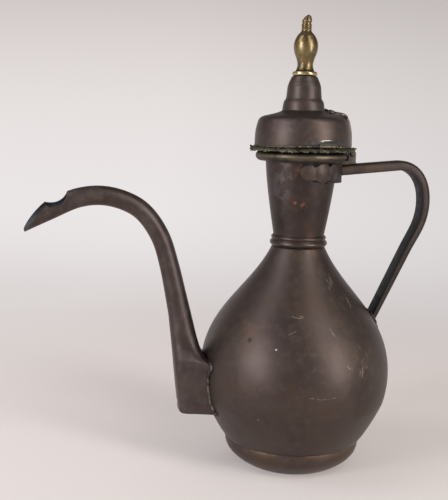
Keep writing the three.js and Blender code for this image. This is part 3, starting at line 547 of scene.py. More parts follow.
# One pale sweep: a floor that bends up into a wall behind the ewer.
def addStage():
    deselectAll()
    wide = stage["width"] / 2
    bpy.ops.mesh.primitive_plane_add(size=2 * mm)
    sweep = named("paleSweep")
    editing("EDGE")
    mesh = bmesh.from_edit_mesh(sweep.data)
    for vertex in mesh.verts:
        side = 1 if vertex.co.x > 0 else -1
        vertex.co = Vector((side * wide, stage["back"] if vertex.co.y > 0 else -stage["front"], 0)) * mm
    bmesh.update_edit_mesh(sweep.data)
    bpy.ops.mesh.select_all(action="DESELECT")
    selectEdges(sweep, lambda ends: all(v.y > 0 for v in ends))
    bpy.ops.mesh.extrude_region_move(TRANSFORM_OT_translate={"value": (0, 0, stage["height"] * mm)})
    bpy.ops.mesh.select_all(action="DESELECT")
    selectEdges(sweep, lambda ends: all(v.y > 0 and v.z < mm for v in ends))
    bpy.ops.mesh.bevel(offset=stage["bend"] * mm, segments=stage["bendSteps"], clamp_overlap=False)
    bpy.ops.mesh.select_all(action="SELECT")
    bpy.ops.mesh.normals_make_consistent(inside=False)
    bpy.ops.transform.rotate(value=math.radians(view["azimuth"]), orient_axis="Z", center_override=(0, 0, 0))
    bpy.ops.object.mode_set(mode="OBJECT")
    bpy.ops.object.shade_smooth()
    material, tree = startMaterial("palePaper")
    # Seamless paper, dull and even: it pales behind the ewer and falls off into shade high up and to the right.
    place = addNode(tree, "TexCoord").outputs["Object"]
    level = addNode(tree, "VectorRotate", place, Angle=math.radians(view["azimuth"]), rotation_type="Z_AXIS")
    side, behind, up = addNode(tree, "SeparateXYZ", level).outputs
    far = paperTones[-1][0]
    along = addNode(tree, "Math", addNode(tree, "Math", behind, up, operation="ADD"), far, operation="DIVIDE")
    ramp = addNode(tree, "ValToRGB", along)
    ramp.color_ramp.interpolation = "CARDINAL"
    stops = ramp.color_ramp.elements
    while len(stops) < len(paperTones):
        stops.new(1.0)
    for stop, (distance, tone) in zip(stops, paperTones):
        stop.position, stop.color = distance / far, toLinear(tone)
    gain = addNode(tree, "MapRange", side, -surround["gainReach"], surround["gainReach"], surround["leftGain"],
                   surround["rightGain"])
    away = addNode(tree, "VectorMath", place, operation="LENGTH").outputs[1]
    share = addNode(tree, "MapRange", away, surround["glowStart"], surround["glowFull"], surround["nearGlow"], 1.0)
    share = addNode(tree, "Math", share, seenRays(tree), operation="MULTIPLY")
    tone = addNode(tree, "VectorMath", toLinear(surround["floorTone"])[:3], Scale=gain, operation="SCALE")
    paper = addNode(tree, "BsdfDiffuse", Color=tone)
    glow = addNode(tree, "Emission", Color=ramp, Strength=gain)
    addNode(tree, "OutputMaterial", addNode(tree, "MixShader", share, paper, glow))
    sweep.data.materials.append(material)


addCamera()
addLamps()
addWorld()
addStage()
print("camera, lamps and paper sweep are set")

# Shared surfaces of the vessel

vessel = dict(
    wall=1.2, fit=0.3, overrun=6,
    panRadius=49.8, panHeight=20.65, panCurve=28.63, panLap=5,
    girthRadius=70.3, girthHeight=70.0, girthCurve=72.2, bowlTuck=1.2, bowlTuckHeight=30,
    ledgeRadius=19.5, collarRadius=18.55, collarHeight=163.6, collarTop=167.6,
    neckFoot=167.9, ringTop=171.9, mouthRadius=26.0, mouthHeight=234.9, neckStraight=8.9,
)
wall, fit, overrun = vessel["wall"], vessel["fit"], vessel["overrun"]


def ellipseSide(radius, curve, middle, low, high, steps):
    heights = [low + (high - low) * i / steps for i in range(steps + 1)]
    return [(radius * math.sqrt(1 - ((middle - z) / curve) ** 2), z) for z in heights]


def bodyLine(steps=40):
    v = vessel
    rise = v["collarHeight"] - v["girthHeight"]
    bowl = ellipseSide(v["girthRadius"], v["girthCurve"], v["girthHeight"], v["panHeight"], v["girthHeight"], steps)
    bowl = [(r - v["bowlTuck"] * math.sin(math.pi * min(1, (z - v["panHeight"]) / v["bowlTuckHeight"])), z)
            for r, z in bowl]
    pullUp, pullIn, pullDown = 0.468, 0.287, 0.35  # shares of the rise and of the draw-in
    shoulder = bezier(
        (v["girthRadius"], v["girthHeight"]),
        (v["girthRadius"], v["girthHeight"] + pullUp * rise),
        (v["ledgeRadius"] + pullIn * (v["girthRadius"] - v["ledgeRadius"]), v["collarHeight"] - pullDown * rise),
        (v["ledgeRadius"], v["collarHeight"]), steps)
    return bowl + shoulder[1:]


def neckLine(steps=24):
    v = vessel
    top = v["mouthHeight"] - v["neckStraight"]
    pullUp, pullOut = 0.78, 1.02
    return bezier(
        (v["collarRadius"], v["ringTop"]),
        (v["collarRadius"] + pullOut * (v["mouthRadius"] - v["collarRadius"]),
         v["ringTop"] + pullUp * (top - v["ringTop"])),
        (v["mouthRadius"], top), (v["mouthRadius"], top), steps)


bodySide = bodyLine()
neckSide = [(vessel["collarRadius"], vessel["neckFoot"])] + neckLine()
neckSide += [(vessel["mouthRadius"], vessel["mouthHeight"])]


def onBody(azimuth, height):
    return turnPoint(radiusAt(bodySide, height), azimuth, height)


def onNeck(azimuth, height):
    return turnPoint(radiusAt(neckSide, height), azimuth, height)


# Moves a flat piece, drawn in X and Y with its thickness in Z, onto a turned surface.
def wrapped(piece, side, azimuth, height):
    slope = Vector((radiusAt(side, height + 1) - radiusAt(side, height - 1), 2)).normalized()

    def onto(point):
        across, up, out = point
        z = height + up * slope.y
        radius = radiusAt(side, z)
        normal = Vector((1, radiusAt(side, z - 0.5) - radiusAt(side, z + 0.5))).normalized()
        return turnPoint(radius + out * normal.x, azimuth + math.degrees(across / radius), z + out * normal.y)
    return reshaped(piece, onto)


# A filled envelope of a side line, used to fit pieces against it.
def envelope(name, side, growth):
    outer = moved(side, -growth)
    return spun(name, [(0, outer[0][1])] + outer + [(0, outer[-1][1])])


# Finishes

# Patinated, waxed copper: dark brown and satin, paler where light lies on its fine pits.
# Each scratch runs between two places in azimuth and height, and has a width.
scratchPlaces = [
    ((-56.5, 146.5), (-59.5, 139.5), 0.5), ((-60, 144), (-62.5, 138.5), 0.35), ((-66, 143.5), (-63.5, 139), 0.4),
    ((-66.5, 139), (-68, 136.5), 0.4), ((-48.4, 130.5), (-52, 124), 0.45), ((-50, 131), (-50.8, 127), 0.3),
    ((-109.6, 121), (-105, 120.2), 0.4), ((-105, 120.2), (-100.8, 120.7), 0.45),
    ((-103.5, 121.8), (-101.2, 121.4), 0.3), ((-111.4, 110), (-106, 112.2), 0.35), ((-81.6, 114), (-79, 109), 0.4),
    ((-97.8, 69.6), (-93, 69.0), 0.35), ((-93, 69.0), (-90, 68.0), 0.35), ((-89.5, 68.6), (-86.5, 68.2), 0.35),
    ((-86.5, 68.2), (-82.5, 69.3), 0.35), ((-58.2, 99), (-58.6, 86), 0.35), ((-56.5, 96), (-57, 88), 0.3),
    ((-62.5, 87), (-63.5, 80.5), 0.4), ((-64.8, 85), (-65.2, 82), 0.3), ((-74, 90), (-72.5, 87.5), 0.3),
]
bodyCopper = metalFinish(
    "patinatedCopperBody",
    scratches=[(onBody(*start), onBody(*end), width) for start, end, width in scratchPlaces],
    patches=[
        dict(at=onBody(-137.3, 104), size=2.6, colour="2a2120", gloss=0.15, rise=-0.25, broken=unbroken,
             stray=0.25, core=0.2),
        dict(at=onBody(-118, 100.3), size=0.75, colour="cfc8bd", gloss=-0.1, broken=unbroken, stray=0.1, core=0.6),
        dict(at=onBody(-126.7, 50.3), size=1.5, colour="6d6043", broken=unbroken, stray=0.4),
        dict(at=onBody(-141, 113), size=17, colour="60483a", broken=0.42, strength=0.45),
        dict(at=onBody(-52, 128), size=16, colour="6a5a4e", broken=0.46, strength=0.4),
        dict(at=onBody(-60, 92), size=16, colour="6b5d52", broken=0.46, strength=0.35),
    ],
    bands=[dict(low=20.4, high=22.2, colour="857056", broken=0.55, run=16, gloss=-0.06, strength=0.5),
           dict(low=161.2, high=163.8, colour="805d42", broken=0.54, run=9, strength=0.5)],
)
footCopper = metalFinish(
    "patinatedCopperFoot", deep="493b36", mid="54453f", light="5e5049", warmth=0.45,
    bands=[dict(low=-1, high=1.6, colour="a9673f", broken=0.46, run=18, gloss=-0.1, strength=0.85),
           dict(low=18.9, high=20.9, colour="8a6a48", broken=0.56, run=14, gloss=-0.05, strength=0.4)],
    patches=[dict(at=turnPoint(42, -78, 2), size=8, colour="a0643c", broken=0.38, strength=0.85, squeeze=(1, 1, 2))],
)
neckCopper = metalFinish(
    "patinatedCopperNeck", deep="342a27", mid="3c312e", light="463d38", warm="50382e", warmth=0.5, cloud=26,
    patches=[
        dict(at=onNeck(-109, 218), size=5, colour="755139", broken=0.4, strength=0.5, squeeze=(1, 1, 0.55)),
        dict(at=onNeck(-126, 223.5), size=6, colour="64433c", broken=0.4, strength=0.45, squeeze=(1, 1, 2)),
        dict(at=onNeck(-146, 212), size=12, colour="585556", broken=0.42, strength=0.5, squeeze=(1, 1, 0.4)),
        dict(at=onNeck(-115.6, 197.3), size=1.6, colour="8a5a3a", broken=unbroken, stray=0.3),
        dict(at=onNeck(-98, 195), size=4, colour="8d5c3b", broken=0.4, strength=0.6),
        dict(at=onNeck(-133, 213), size=8, colour="63503f", broken=0.45, strength=0.5),
    ] + [
        # Painted shade: near-black patches darken the corners between the plate's lobes, under the ring and at the
        # lobes' feet, where shade falls.
        dict(at=onNeck(azimuth, height), size=size, colour="141211", gloss=0.2, broken=unbroken, stray=0.2,
             core=0.6, strength=0.9)
        for azimuth, height, size in ((-59.5, 224.6, 3), (-84, 224.6, 2.8), (-36, 224.6, 3),
                                      (-59.5, 212.6, 2.2), (-84, 213.4, 1.8))
    ],
)
ringCopper = metalFinish(
    "patinatedCopperRing", roughness=(0.32, 0.45),
    bands=[dict(low=163.6, high=164.8, colour="80583c", broken=0.52, run=9, strength=0.5)],
)
spoutCopper = metalFinish(
    "patinatedCopperSpout", deep="423633", mid="4c413e", light="5b514d", warm="55473f", warmth=0.4, cloud=24, dent=11,
    patches=[
        dict(at=Vector((-150, -6, 199)), size=9, colour="5f573f", broken=0.46, strength=0.25),
        dict(at=Vector((-112, -6, 186)), size=12, colour="5c5344", broken=0.46, strength=0.35),
        dict(at=Vector((-70.5, -11.5, 48.5)), size=2.4, colour="85452c", broken=0.3, strength=0.6,
             squeeze=(1, 1, 0.5)),
    ],
)
# The lid is knocked above its flange at the front right. Its dent carries painted light: grey painted shade and
# reflection in the dent, and a pale painted highlight on its ridge.
lidCopper = metalFinish(
    "patinatedCopperLid", deep="3f3430", mid="483c38", dent=12, fleck=3.2, light="5a4e49",
    patches=[
        dict(at=turnPoint(34.2, -70, 238.6), size=14, colour="4b4844", broken=unbroken, strength=0.7,
             squeeze=(1, 1, 4.2), stray=0.22, core=0.5),
        dict(at=turnPoint(34.8, -77, 241.4), size=7, colour="b5a99b", gloss=-0.16, broken=-0.2, strength=0.85,
             squeeze=(1, 1, 7), stray=0.14, core=0.25),
        dict(at=turnPoint(34.6, -96, 238.6), size=6, colour="5f5d57", broken=0.45, strength=0.6, squeeze=(1, 1, 1.6)),
        dict(at=turnPoint(34, -66, 249), size=3.5, colour="6b4f38", broken=0.5, strength=0.5),
        dict(at=turnPoint(19, -80, 261), size=8, colour="5d5544", broken=0.44, strength=0.45, squeeze=(1, 1, 2)),
    ],
    bands=[dict(low=236.4, high=238.2, colour="5b5242", broken=0.5, run=12, strength=0.5),
           # Painted shade: a darker band over the dome's shoulder, the slope that faces up.
           dict(low=257, high=263, colour="332b28", broken=unbroken, edge=2.5, strength=0.6, gloss=0.06)],
)
# The turret's wax shines a little more than the dome's.
turretCopper = metalFinish(
    "patinatedCopperTurret", deep="3f3531", mid="493d39", light="54483f", dent=12, fleck=3.2, coat=0.15,
    bands=[dict(low=261.5, high=265, colour="463b37", broken=unbroken, strength=0.6, gloss=0.02),
           dict(low=283.5, high=292, colour="4f433e", broken=unbroken, strength=0.6, gloss=-0.1)],
)
# The plates are duller than the body. The strap and its rivets are painted a paler brown: painted light that stands
# in for the light on the strap's top and edges.
plateCopper = metalFinish("patinatedCopperPlates", deep="3c322f", mid="4c413c", light="5a4f49", cloud=11, dent=7,
                          fleck=3, warmth=0.25, roughness=(0.5, 0.6), coat=0.1)
paleLitStrapCopper = metalFinish("patinatedCopperStrapPaintedLight", deep="4e443e", mid="62574f", light="7a6e61", warm="6a5944", cloud=9,
                          dent=6, fleck=3, warmth=0.4)
# The handle is darker than the body and has little wax left.
handleCopper = metalFinish("patinatedCopperHandle", deep="312926", mid="3d3330", light="473d38", cloud=24, dent=9,
                           roughness=(0.48, 0.58), coat=0.06)
# Painted shade: near-black copper laid on the handle's inner face and on the neck plate's edge faces, where shade
# falls.
paintedShadeCopper = metalFinish("paintedShadeBlackCopper", deep="0c0d10", mid="111317", warm="161617", light="191c20",
                          metallic=0.4, roughness=(0.5, 0.66), coat=0.0, warmth=0.2)
# Tinned inside: a dull grey with a touch of blue, as old tin lining is.
tinLining = metalFinish("agedTinLining", deep="2d3038", mid="404248", warm="494842", light="575955",
                        metallic=0.2, roughness=(0.6, 0.75), coat=0.0, warmth=0.4, grainHeight=0.03)
# Brass, each at its own stage of tarnish: olive and satin on the rim, rough and speckled on the flange, a soft
# gloss on the finial, and a bright turned shine on the collar.
rimBrass = metalFinish(
    "tarnishedRimBrass", deep="403a34", mid="5c534a", warm="63574a", light="71685a", metallic=1.0,
    roughness=(0.5, 0.6), coat=0.0, cloud=15, fleck=4, dent=7, warmth=0.4,
    # Painted highlight: the paler band round the ring's middle stands in for the light along its bulge.
    bands=[dict(low=229.2, high=231.2, colour="7d725f", broken=0.36, run=20, strength=0.5, gloss=-0.06),
           # Painted shade: the dark grey band on the ring's top stands in for the shade under the flange.
           dict(low=231.6, high=234, colour="3a3a3c", broken=unbroken, strength=0.6)],
)
raggedBrass = metalFinish(
    "raggedFlangeBrass", deep="2e2b28", mid="5f594c", warm="75694d", light="b5ae92", metallic=0.8,
    roughness=(0.36, 0.56), coat=0.0, cloud=4, fleck=1.6, grain=0.8, grainHeight=0.12, dent=3, dentHeight=0.3,
    warmth=0.5,
)
finialBrass = metalFinish(
    "agedFinialBrass", deep="62543d", mid="80704f", warm="775f44", light="9a8967", metallic=1.0,
    roughness=(0.29, 0.38), coat=0.0, cloud=14, fleck=2.5, grain=0.7, grainHeight=0.006, dent=6,
    dentHeight=0.015, warmth=0.5,
    # Painted shadow: a dark band at the knob's foot, just above the collar.
    bands=[dict(low=289.8, high=291.6, colour="3a3226", broken=unbroken, run=6, strength=0.7, gloss=0.1),
           dict(low=326.5, high=331, colour="5a4a35", broken=unbroken, run=5, strength=0.6, gloss=0.12)],
)
brightBrass = metalFinish(
    "turnedCollarBrass", deep="9c8860", mid="cbb585", warm="b49d69", light="f0e3ba", metallic=1.0,
    roughness=(0.16, 0.24), coat=0.0, cloud=8, fleck=2, grain=0.6, grainHeight=0.002, dent=4, dentHeight=0.01,
)
# Solder: soft tin-lead solder is grey and half bright, hard solder is brassy and dull.
greySolder = metalFinish(
    "softSolder", deep="2e2b2a", mid="5a5654", warm="4c4540", light="9a9490", metallic=0.8,
    roughness=(0.3, 0.42), coat=0.0, cloud=5, fleck=2.4, grain=0.9, grainHeight=0.06, dent=3, dentHeight=0.2,
    warmth=0.4,
)
brassSolder = metalFinish(
    "hardSolder", deep="38312b", mid="4a4338", warm="5c513b", light="6d6550", metallic=0.9,
    roughness=(0.4, 0.55), coat=0.0, cloud=5, fleck=2, grainHeight=0.04, dent=2.5, dentHeight=0.15, warmth=0.5,
)
# Drawn iron wire, dark with age.
pinIron = metalFinish("drawnIronWire", deep="2b2826", mid="4a4642", warm="503f33", light="6b665f", metallic=0.95,
                      roughness=(0.35, 0.5), coat=0.0, cloud=3, fleck=1.2, warmth=0.4)
print("finishes are made")

# Body of revolution

foot = dict(corner=2.2, fullness=1.6, lapGap=0.2, steps=144)


def makeFoot():
    v = vessel
    side = [(r + foot["fullness"] * math.sin(math.pi * z / v["panHeight"]), z) for r, z in
            ellipseSide(v["panRadius"], v["panCurve"], v["panHeight"], 0, v["panHeight"], 24)]
    lapTop = v["panHeight"] + v["panLap"]
    lap = (radiusAt(moved(bodySide, wall), lapTop) - fit - foot["lapGap"], lapTop)
    outer = softened([(0, 0)] + side + [lap], foot["corner"])
    piece = spun("footPan", sheetLine(outer, fromAxis=True), foot["steps"])
    settled(piece, "root", ["foot_pan"], footCopper)
    lined(piece, tinLining, lambda c, n: facesAxis(c, n) or (n.z > 0.5 and c.z < 3))


def makeBody():
    v = vessel
    collar = [(v["collarRadius"], v["collarHeight"] + 0.4), (v["collarRadius"], v["collarTop"] - 0.6)]
    piece = spun("bodyShell", sheetLine(softened(bodySide + collar, 0.5)), 192)
    deselectAll()
    port = (v["girthRadius"] / 2 + 2 * overrun) * mm
    bpy.ops.mesh.primitive_cylinder_add(vertices=48, radius=spout["portRadius"] * mm, depth=port,
                                        location=(-v["girthRadius"] * mm, 0, spout["portHeight"] * mm),
                                        rotation=(0, math.pi / 2, 0))
    carved(piece, named("portCutter"))
    settled(piece, "root", ["body_shell"], bodyCopper)
    lined(piece, tinLining, facesAxis)


def beadLine(radius, low, high, bulge, steps):
    return [(radius + bulge * math.sin(math.pi * i / steps), low + (high - low) * i / steps)
            for i in range(steps + 1)]


neckRing = dict(bead=1.65, ridge=0.95, grooveShare=0.64)


def makeNeckRing():
    v = vessel
    low, high = v["collarHeight"] + fit, v["ringTop"]
    groove = low + neckRing["grooveShare"] * (high - low)
    bore = v["collarRadius"] + fit
    line = beadLine(v["ledgeRadius"], low, groove, neckRing["bead"], 14)
    line += beadLine(v["ledgeRadius"] - 0.2, groove, high, neckRing["ridge"], 9)[1:]
    line = [(bore, low)] + line + [(bore, high), (bore, low)]
    settled(spun("neckRing", softened(line, 0.3)), "root", ["neck_ring"], ringCopper)


def makeNeck():
    low, mouth = neckSide[0], neckSide[-1]
    outer = [(low[0], low[1] + wall / 2)] + neckSide[1:-1] + [(mouth[0], mouth[1] - wall / 2)]
    piece = spun("neckTube", sheetLine(softened(outer, 0.5)), 144)
    settled(piece, "root", ["neck_tube"], neckCopper)
    lined(piece, tinLining, facesAxis)


rim = dict(width=7.6, height=7.5, drop=1.4, gap=33, roundShare=0.56, steps=14, edge=0.7, edgeAngle=50)


# The rim ring is a bent bar, so it ends in two flat faces beside the hinge.
def makeRim():
    bore = vessel["mouthRadius"] + fit
    outer = vessel["mouthRadius"] + rim["width"]
    top = vessel["mouthHeight"] - rim["drop"]
    deep = rim["roundShare"] * (outer - bore)
    line = [(bore, top - rim["height"])]
    for i in range(rim["steps"] + 1):
        angle = math.pi * (i / rim["steps"] - 0.5)
        line.append((outer - deep + deep * math.cos(angle),
                     top - rim["height"] / 2 + rim["height"] / 2 * math.sin(angle)))
    line += [(bore, top), line[0]]
    piece = spun("rimRing", line, 108, 360 - 2 * rim["gap"], rim["gap"])
    editing("EDGE")
    bpy.ops.mesh.select_all(action="DESELECT")
    bpy.ops.mesh.select_non_manifold()
    bpy.ops.mesh.edge_face_add()
    bpy.ops.object.mode_set(mode="OBJECT")
    bevelled(recalculated(piece), rim["edge"], rim["edgeAngle"])
    settled(piece, "root", ["rim_ring"], rimBrass)


# Spout

spout = dict(
    reach=198, crest=199.5, foot=40.4, halfWidth=11.2, radius=6.85, sides=40, swell=0.19, swellLength=0.27,
    soleInset=0.6, soleLap=3.5, soleEdge=2.6,
    portRadius=8.5, portHeight=61.2, lipBack=14, lipDrop=5, lipSwell=1.5, tipDrop=23.5, tipTuck=0.8,
    lipSwellPlace=0.6, notchRadius=10.3, notchBack=19.5, notchRise=3.9, notchTilt=12, nearCut=4,
)
# Level sections of the spout's foot as shares: height, front, back, half width, squareness, flare.
footSectionShares = [
    (0.05, 0.141, -0.143, 1, 4.6, 1), (0.123, 0.152, -0.143, 1, 4.4, 1.4), (0.199, 0.163, -0.143, 1, 4, 1.5),
    (0.236, 0.168, -0.07, 1, 3.6, 1.5), (0.258, 0.171, -0.024, 0.98, 3.2, 1.3), (0.28, 0.174, 0.004, 0.94, 2.8, 0.9),
    (0.317, 0.18, 0.022, 0.88, 2.5, 0.3), (0.356, 0.186, 0.037, 0.82, 2.3, 0.1), (0.403, 0.193, 0.052, 0.78, 2.1, 0),
]
# The arch's middle line, as shares of the run out from the girth and the rise from the foot.
archShares = [(0.139, 0.471), (0.203, 0.694), (0.263, 0.832), (0.372, 0.943), (0.534, 0.997), (0.7, 0.992),
              (0.878, 0.931), (1.078, 0.856)]
spoutRun = spout["reach"] - vessel["girthRadius"]
spoutRise = spout["crest"] - spout["foot"]


# A ring between round and square: a squareness of 2 is round. Its far side can be flared.
def sectionRing(middle, along, halfDepth, halfWidth, squareness, flare, sides=spout["sides"]):
    ring = []
    for i in range(sides):
        angle = 2 * math.pi * (i + 0.5) / sides
        c, s = math.cos(angle), math.sin(angle)
        depth = math.copysign(abs(c) ** (2 / squareness), c)
        width = math.copysign(abs(s) ** (2 / squareness), s)
        point = middle + along * halfDepth * depth
        point.y = halfWidth * width * (1 + flare * ((1 - depth) / 2) ** 2)
        ring.append(point)
    return ring


def blendShares(table, place):
    low = min(int(place), len(table) - 2)
    t = place - low
    return [a + (b - a) * t for a, b in zip(table[low], table[low + 1])]


def footRing(shares, inset, drop=0, sides=spout["sides"]):
    up, front, back, width, squareness, flare = shares
    frontX = vessel["girthRadius"] + front * spoutRun - inset
    backX = vessel["girthRadius"] + back * spoutRun + inset
    middle = Vector((-(frontX + backX) / 2, 0, spout["foot"] + up * spoutRise - drop))
    return sectionRing(middle, Vector((-1, 0, 0)), (frontX - backX) / 2, width * spout["halfWidth"] - inset,
                       squareness, flare, sides)


def spoutRings(inset, drop):
    rings = []
    if drop:
        rings.append(footRing(footSectionShares[0], inset, drop))
    finer = 3
    for i in range((len(footSectionShares) - 1) * finer + 1):
        rings.append(footRing(blendShares(footSectionShares, i / finer), inset))
    knots = [(-vessel["girthRadius"] - out * spoutRun, 0, spout["foot"] + up * spoutRise) for out, up in archShares]
    line = [Vector(p) for p in threaded(knots, 8)]
    lengths = lengthsAlong(line)
    for i, point in enumerate(line):
        tangent = tangentAt(line, i)
        share = lengths[i] / lengths[-1]
        radius = spout["radius"] * (1 + spout["swell"] * max(0, 1 - share / spout["swellLength"]) ** 1.5) - inset
        rings.append(sectionRing(point, Vector((-tangent.z, 0, tangent.x)), radius, radius, 2, 0))
    return rings


# What is cut off the spout's end: a slanted, swelling mouth and a round notch behind its lip. The mouth is cut
# deeper on the near side and the notch leans, so both show their lining to the eye.
def mouthCutter():
    lip = Vector((-spout["reach"] + spout["lipBack"], spout["crest"] - spout["lipDrop"]))
    tip = Vector((-spout["reach"], spout["crest"] - spout["tipDrop"]))
    swell = lip.lerp(tip, spout["lipSwellPlace"]) + Vector((-spout["lipSwell"], spout["lipSwell"]))
    edge = [tuple(lip * (1 - t) ** 2 + swell * 2 * t * (1 - t) + tip * t * t) for t in [i / 12 for i in range(13)]]
    tuck = (tip.x + spout["tipTuck"], tip.y - 3 * spout["tipTuck"])
    reach = spout["radius"] + overrun
    far, high = tip.x - 4 * spout["radius"], spout["crest"] + 4 * spout["radius"]
    low = tip.y - 2 * spout["radius"]
    outline = edge + [tuck, (tuck[0], low), (far, low), (far, high), (lip.x, high)]
    cutter = grown("mouthCutter", [[Vector((x + shift, y, z - shift)) for x, z in outline]
                                   for y, shift in ((-reach, spout["nearCut"]), (0, 0), (reach, 0))])
    deselectAll()
    bpy.ops.mesh.primitive_cylinder_add(
        vertices=64, radius=spout["notchRadius"] * mm, depth=2 * reach * mm, rotation=(math.pi / 2, 0, 0),
        location=Vector((-spout["reach"] + spout["notchBack"], 0, spout["crest"] + spout["notchRise"])) * mm)
    bpy.ops.transform.rotate(value=-math.radians(spout["notchTilt"]), orient_axis="X",
                             center_override=bpy.context.object.location)
    return carved(cutter, named("notchCutter"), "UNION")


def makeSpout():
    piece = grown("spoutTube", spoutRings(0, 0))
    piece.data.materials.append(spoutCopper)
    bore = grown("spoutBore", spoutRings(wall, overrun))
    bore.data.materials.append(tinLining)
    carved(piece, bore, materials="TRANSFER")
    carved(piece, envelope("bodyCutter", bodySide, fit))
    carved(piece, mouthCutter())
    settled(piece, "root", ["spout_tube"], None, angle=28)


def makeSole():
    top = spout["foot"] + footSectionShares[0][0] * spoutRise - fit

    def level(inset, height):
        return footRing(footSectionShares[0], inset, top + fit - height)

    turned = spout["soleEdge"]
    edge = [(turned * (1 - math.sin(a)), turned * (1 - math.cos(a))) for a in (0, 0.3, 0.6, 0.9, 1.2, math.pi / 2)]
    rings = [level(spout["soleInset"] + inset, spout["foot"] + up) for inset, up in edge]
    rings += [level(spout["soleInset"], top), level(wall + fit, top), level(wall + fit, top + spout["soleLap"])]
    piece = grown("spoutSole", rings)
    inside = 2 * wall + fit
    hollow = [level(inside + 1, spout["foot"] + wall), level(inside, spout["foot"] + 2 * wall)]
    carved(piece, grown("soleHollow", hollow + [level(inside, top + spout["soleLap"] + overrun)]))
    carved(piece, envelope("bodyCutter", bodySide, fit))
    settled(piece, "root", ["spout_sole"], spoutCopper, angle=40)


# Where the spout's wall meets the body at a height: the azimuth on one side, or None above the joint.
def footJoint(height, side):
    place = (height - spout["foot"]) / spoutRise
    table = footSectionShares
    k = max([0] + [i for i in range(len(table) - 1) if table[i][0] <= place])
    t = max(0, (place - table[k][0]) / (table[k + 1][0] - table[k][0]))
    shares = [a + (b - a) * t for a, b in zip(table[k], table[k + 1])]
    sides, before = 720, None
    ring = footRing(shares, 0, sides=sides)
    for point in ring[:sides // 2] if side > 0 else ring[:sides // 2 - 1:-1]:
        radius, azimuth = turnOf(point)
        out = radius - radiusAt(bodySide, height)
        if before is not None and out <= 0 < before:
            return azimuth
        before = out
    return None


solder = dict(radius=1.4, out=0.4, lumps=0.35, low=41.0, high=80.5, steps=100, sides=12, lumpSize=4)


def tubeRings(path, radiusOf, sides):
    rings = []
    for i, point in enumerate(path):
        along = tangentAt(path, i)
        across = along.cross(Vector((point.x, point.y, 0)).normalized()).normalized()
        out = across.cross(along).normalized()
        radius = radiusOf(i, point)
        rings.append([point + (across * math.cos(a) + out * math.sin(a)) * radius for a in wholeTurn(sides)])
    return rings


# Soft solder lies in a lumpy fillet where the spout's foot meets the body.
def makeSpoutSolder():
    up = []
    for i in range(solder["steps"] + 1):
        z = solder["low"] + (solder["high"] - solder["low"]) * i / solder["steps"]
        azimuth = footJoint(z, -1)
        if azimuth is None:
            break
        up.append((azimuth, z))
    path = [turnPoint(radiusAt(bodySide, z) + solder["out"], azimuth, z) for azimuth, z in up]
    path += [Vector((p.x, -p.y, p.z)) for p in reversed(path)]

    def radiusOf(i, point):
        lump = noise.noise(point / solder["lumpSize"]) + 0.5 * noise.noise(point * 1.1)
        taper = min(1, 0.3 + 0.25 * min(i, len(path) - 1 - i))
        return taper * solder["radius"] * (1 + solder["lumps"] * lump)

    piece = grown("spoutSolder", tubeRings(path, radiusOf, solder["sides"]))
    settled(piece, "root", [], greySolder, angle=60)


# Handle

handle = dict(
    reach=94.4, topDrop=14.3, rootDrop=4.3, halfWidth=7, edge=0.9, shoulder=24.6,
    rootThickness=7.5, endThickness=5, landing=110, corner=0.7, squareTop=4.2, squareLow=2.3,
    tenonLength=2.2, tenonHalfWidth=3.6, tenonHeight=4,
)
bossHeight, bossHalfWidth, plateThickness = 14.6, 8.4, 1.2
plateHigh = vessel["mouthHeight"] - rim["drop"] - rim["height"] - fit
plateMiddle = plateHigh - bossHeight / 2
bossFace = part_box("neck_plate")[1].x / mm
rootX = bossFace + fit
handleTop = vessel["mouthHeight"] - handle["topDrop"]
rootZ = handleTop - handle["rootDrop"]
pin = dict(x=37.45, z=232.0, radius=1.1, headRadius=1.9, headThickness=0.8, cheekRadius=2.8, cheekThickness=1.7,
           cheekEdge=0.35, knuckleRadius=2.5, knuckleHalfWidth=2.3, gap=0.35, tenonLength=3.4, tenonRadius=1.6)
postHalfWidth = pin["knuckleHalfWidth"] + pin["gap"] + pin["cheekThickness"]


# The handle's inner line: its points, the way out of the grip and the thickness there.
def handleLine():
    h = handle
    landingX = radiusAt(bodySide, h["landing"])
    gripHeight = handleTop - h["shoulder"]
    bendShare, lowReachShare, lowHeightShare = 0.69, 0.668, 0.6
    topPull, sidePull, lowPull = 0.62, 0.62, 0.42
    root = Vector((rootX, rootZ))
    bend = Vector((rootX + bendShare * (h["reach"] - rootX), handleTop))
    low = Vector((landingX + lowReachShare * (h["reach"] - landingX),
                  h["landing"] + lowHeightShare * (gripHeight - h["landing"])))
    landing = Vector((landingX, h["landing"]))
    far = Vector((h["reach"], gripHeight))
    along, lean = (bend - root).normalized(), (low - landing).normalized()
    start, end = root - along * overrun, landing - lean * (overrun + wall)
    points = [start.lerp(bend, i / 10) for i in range(10)]
    points += [Vector(p) for p in bezier(
        bend, bend + along * topPull * (h["reach"] - bend.x), far + Vector((0, sidePull * h["shoulder"])), far, 26)]
    drop = lowPull * (gripHeight - low.y)
    points += [Vector(p) for p in bezier(far, far - Vector((0, drop)), low + lean * drop, low, 22)][1:]
    points += [low.lerp(end, i / 12) for i in range(1, 13)]
    lengths = lengthsAlong(points)
    line = []
    for i, point in enumerate(points):
        tangent = tangentAt(points, i)
        taper = 1 - (lengths[i] / lengths[-1]) ** 1.5
        thickness = h["endThickness"] + (h["rootThickness"] - h["endThickness"]) * taper
        line.append((point, Vector((-tangent.y, tangent.x)), thickness))
    return line


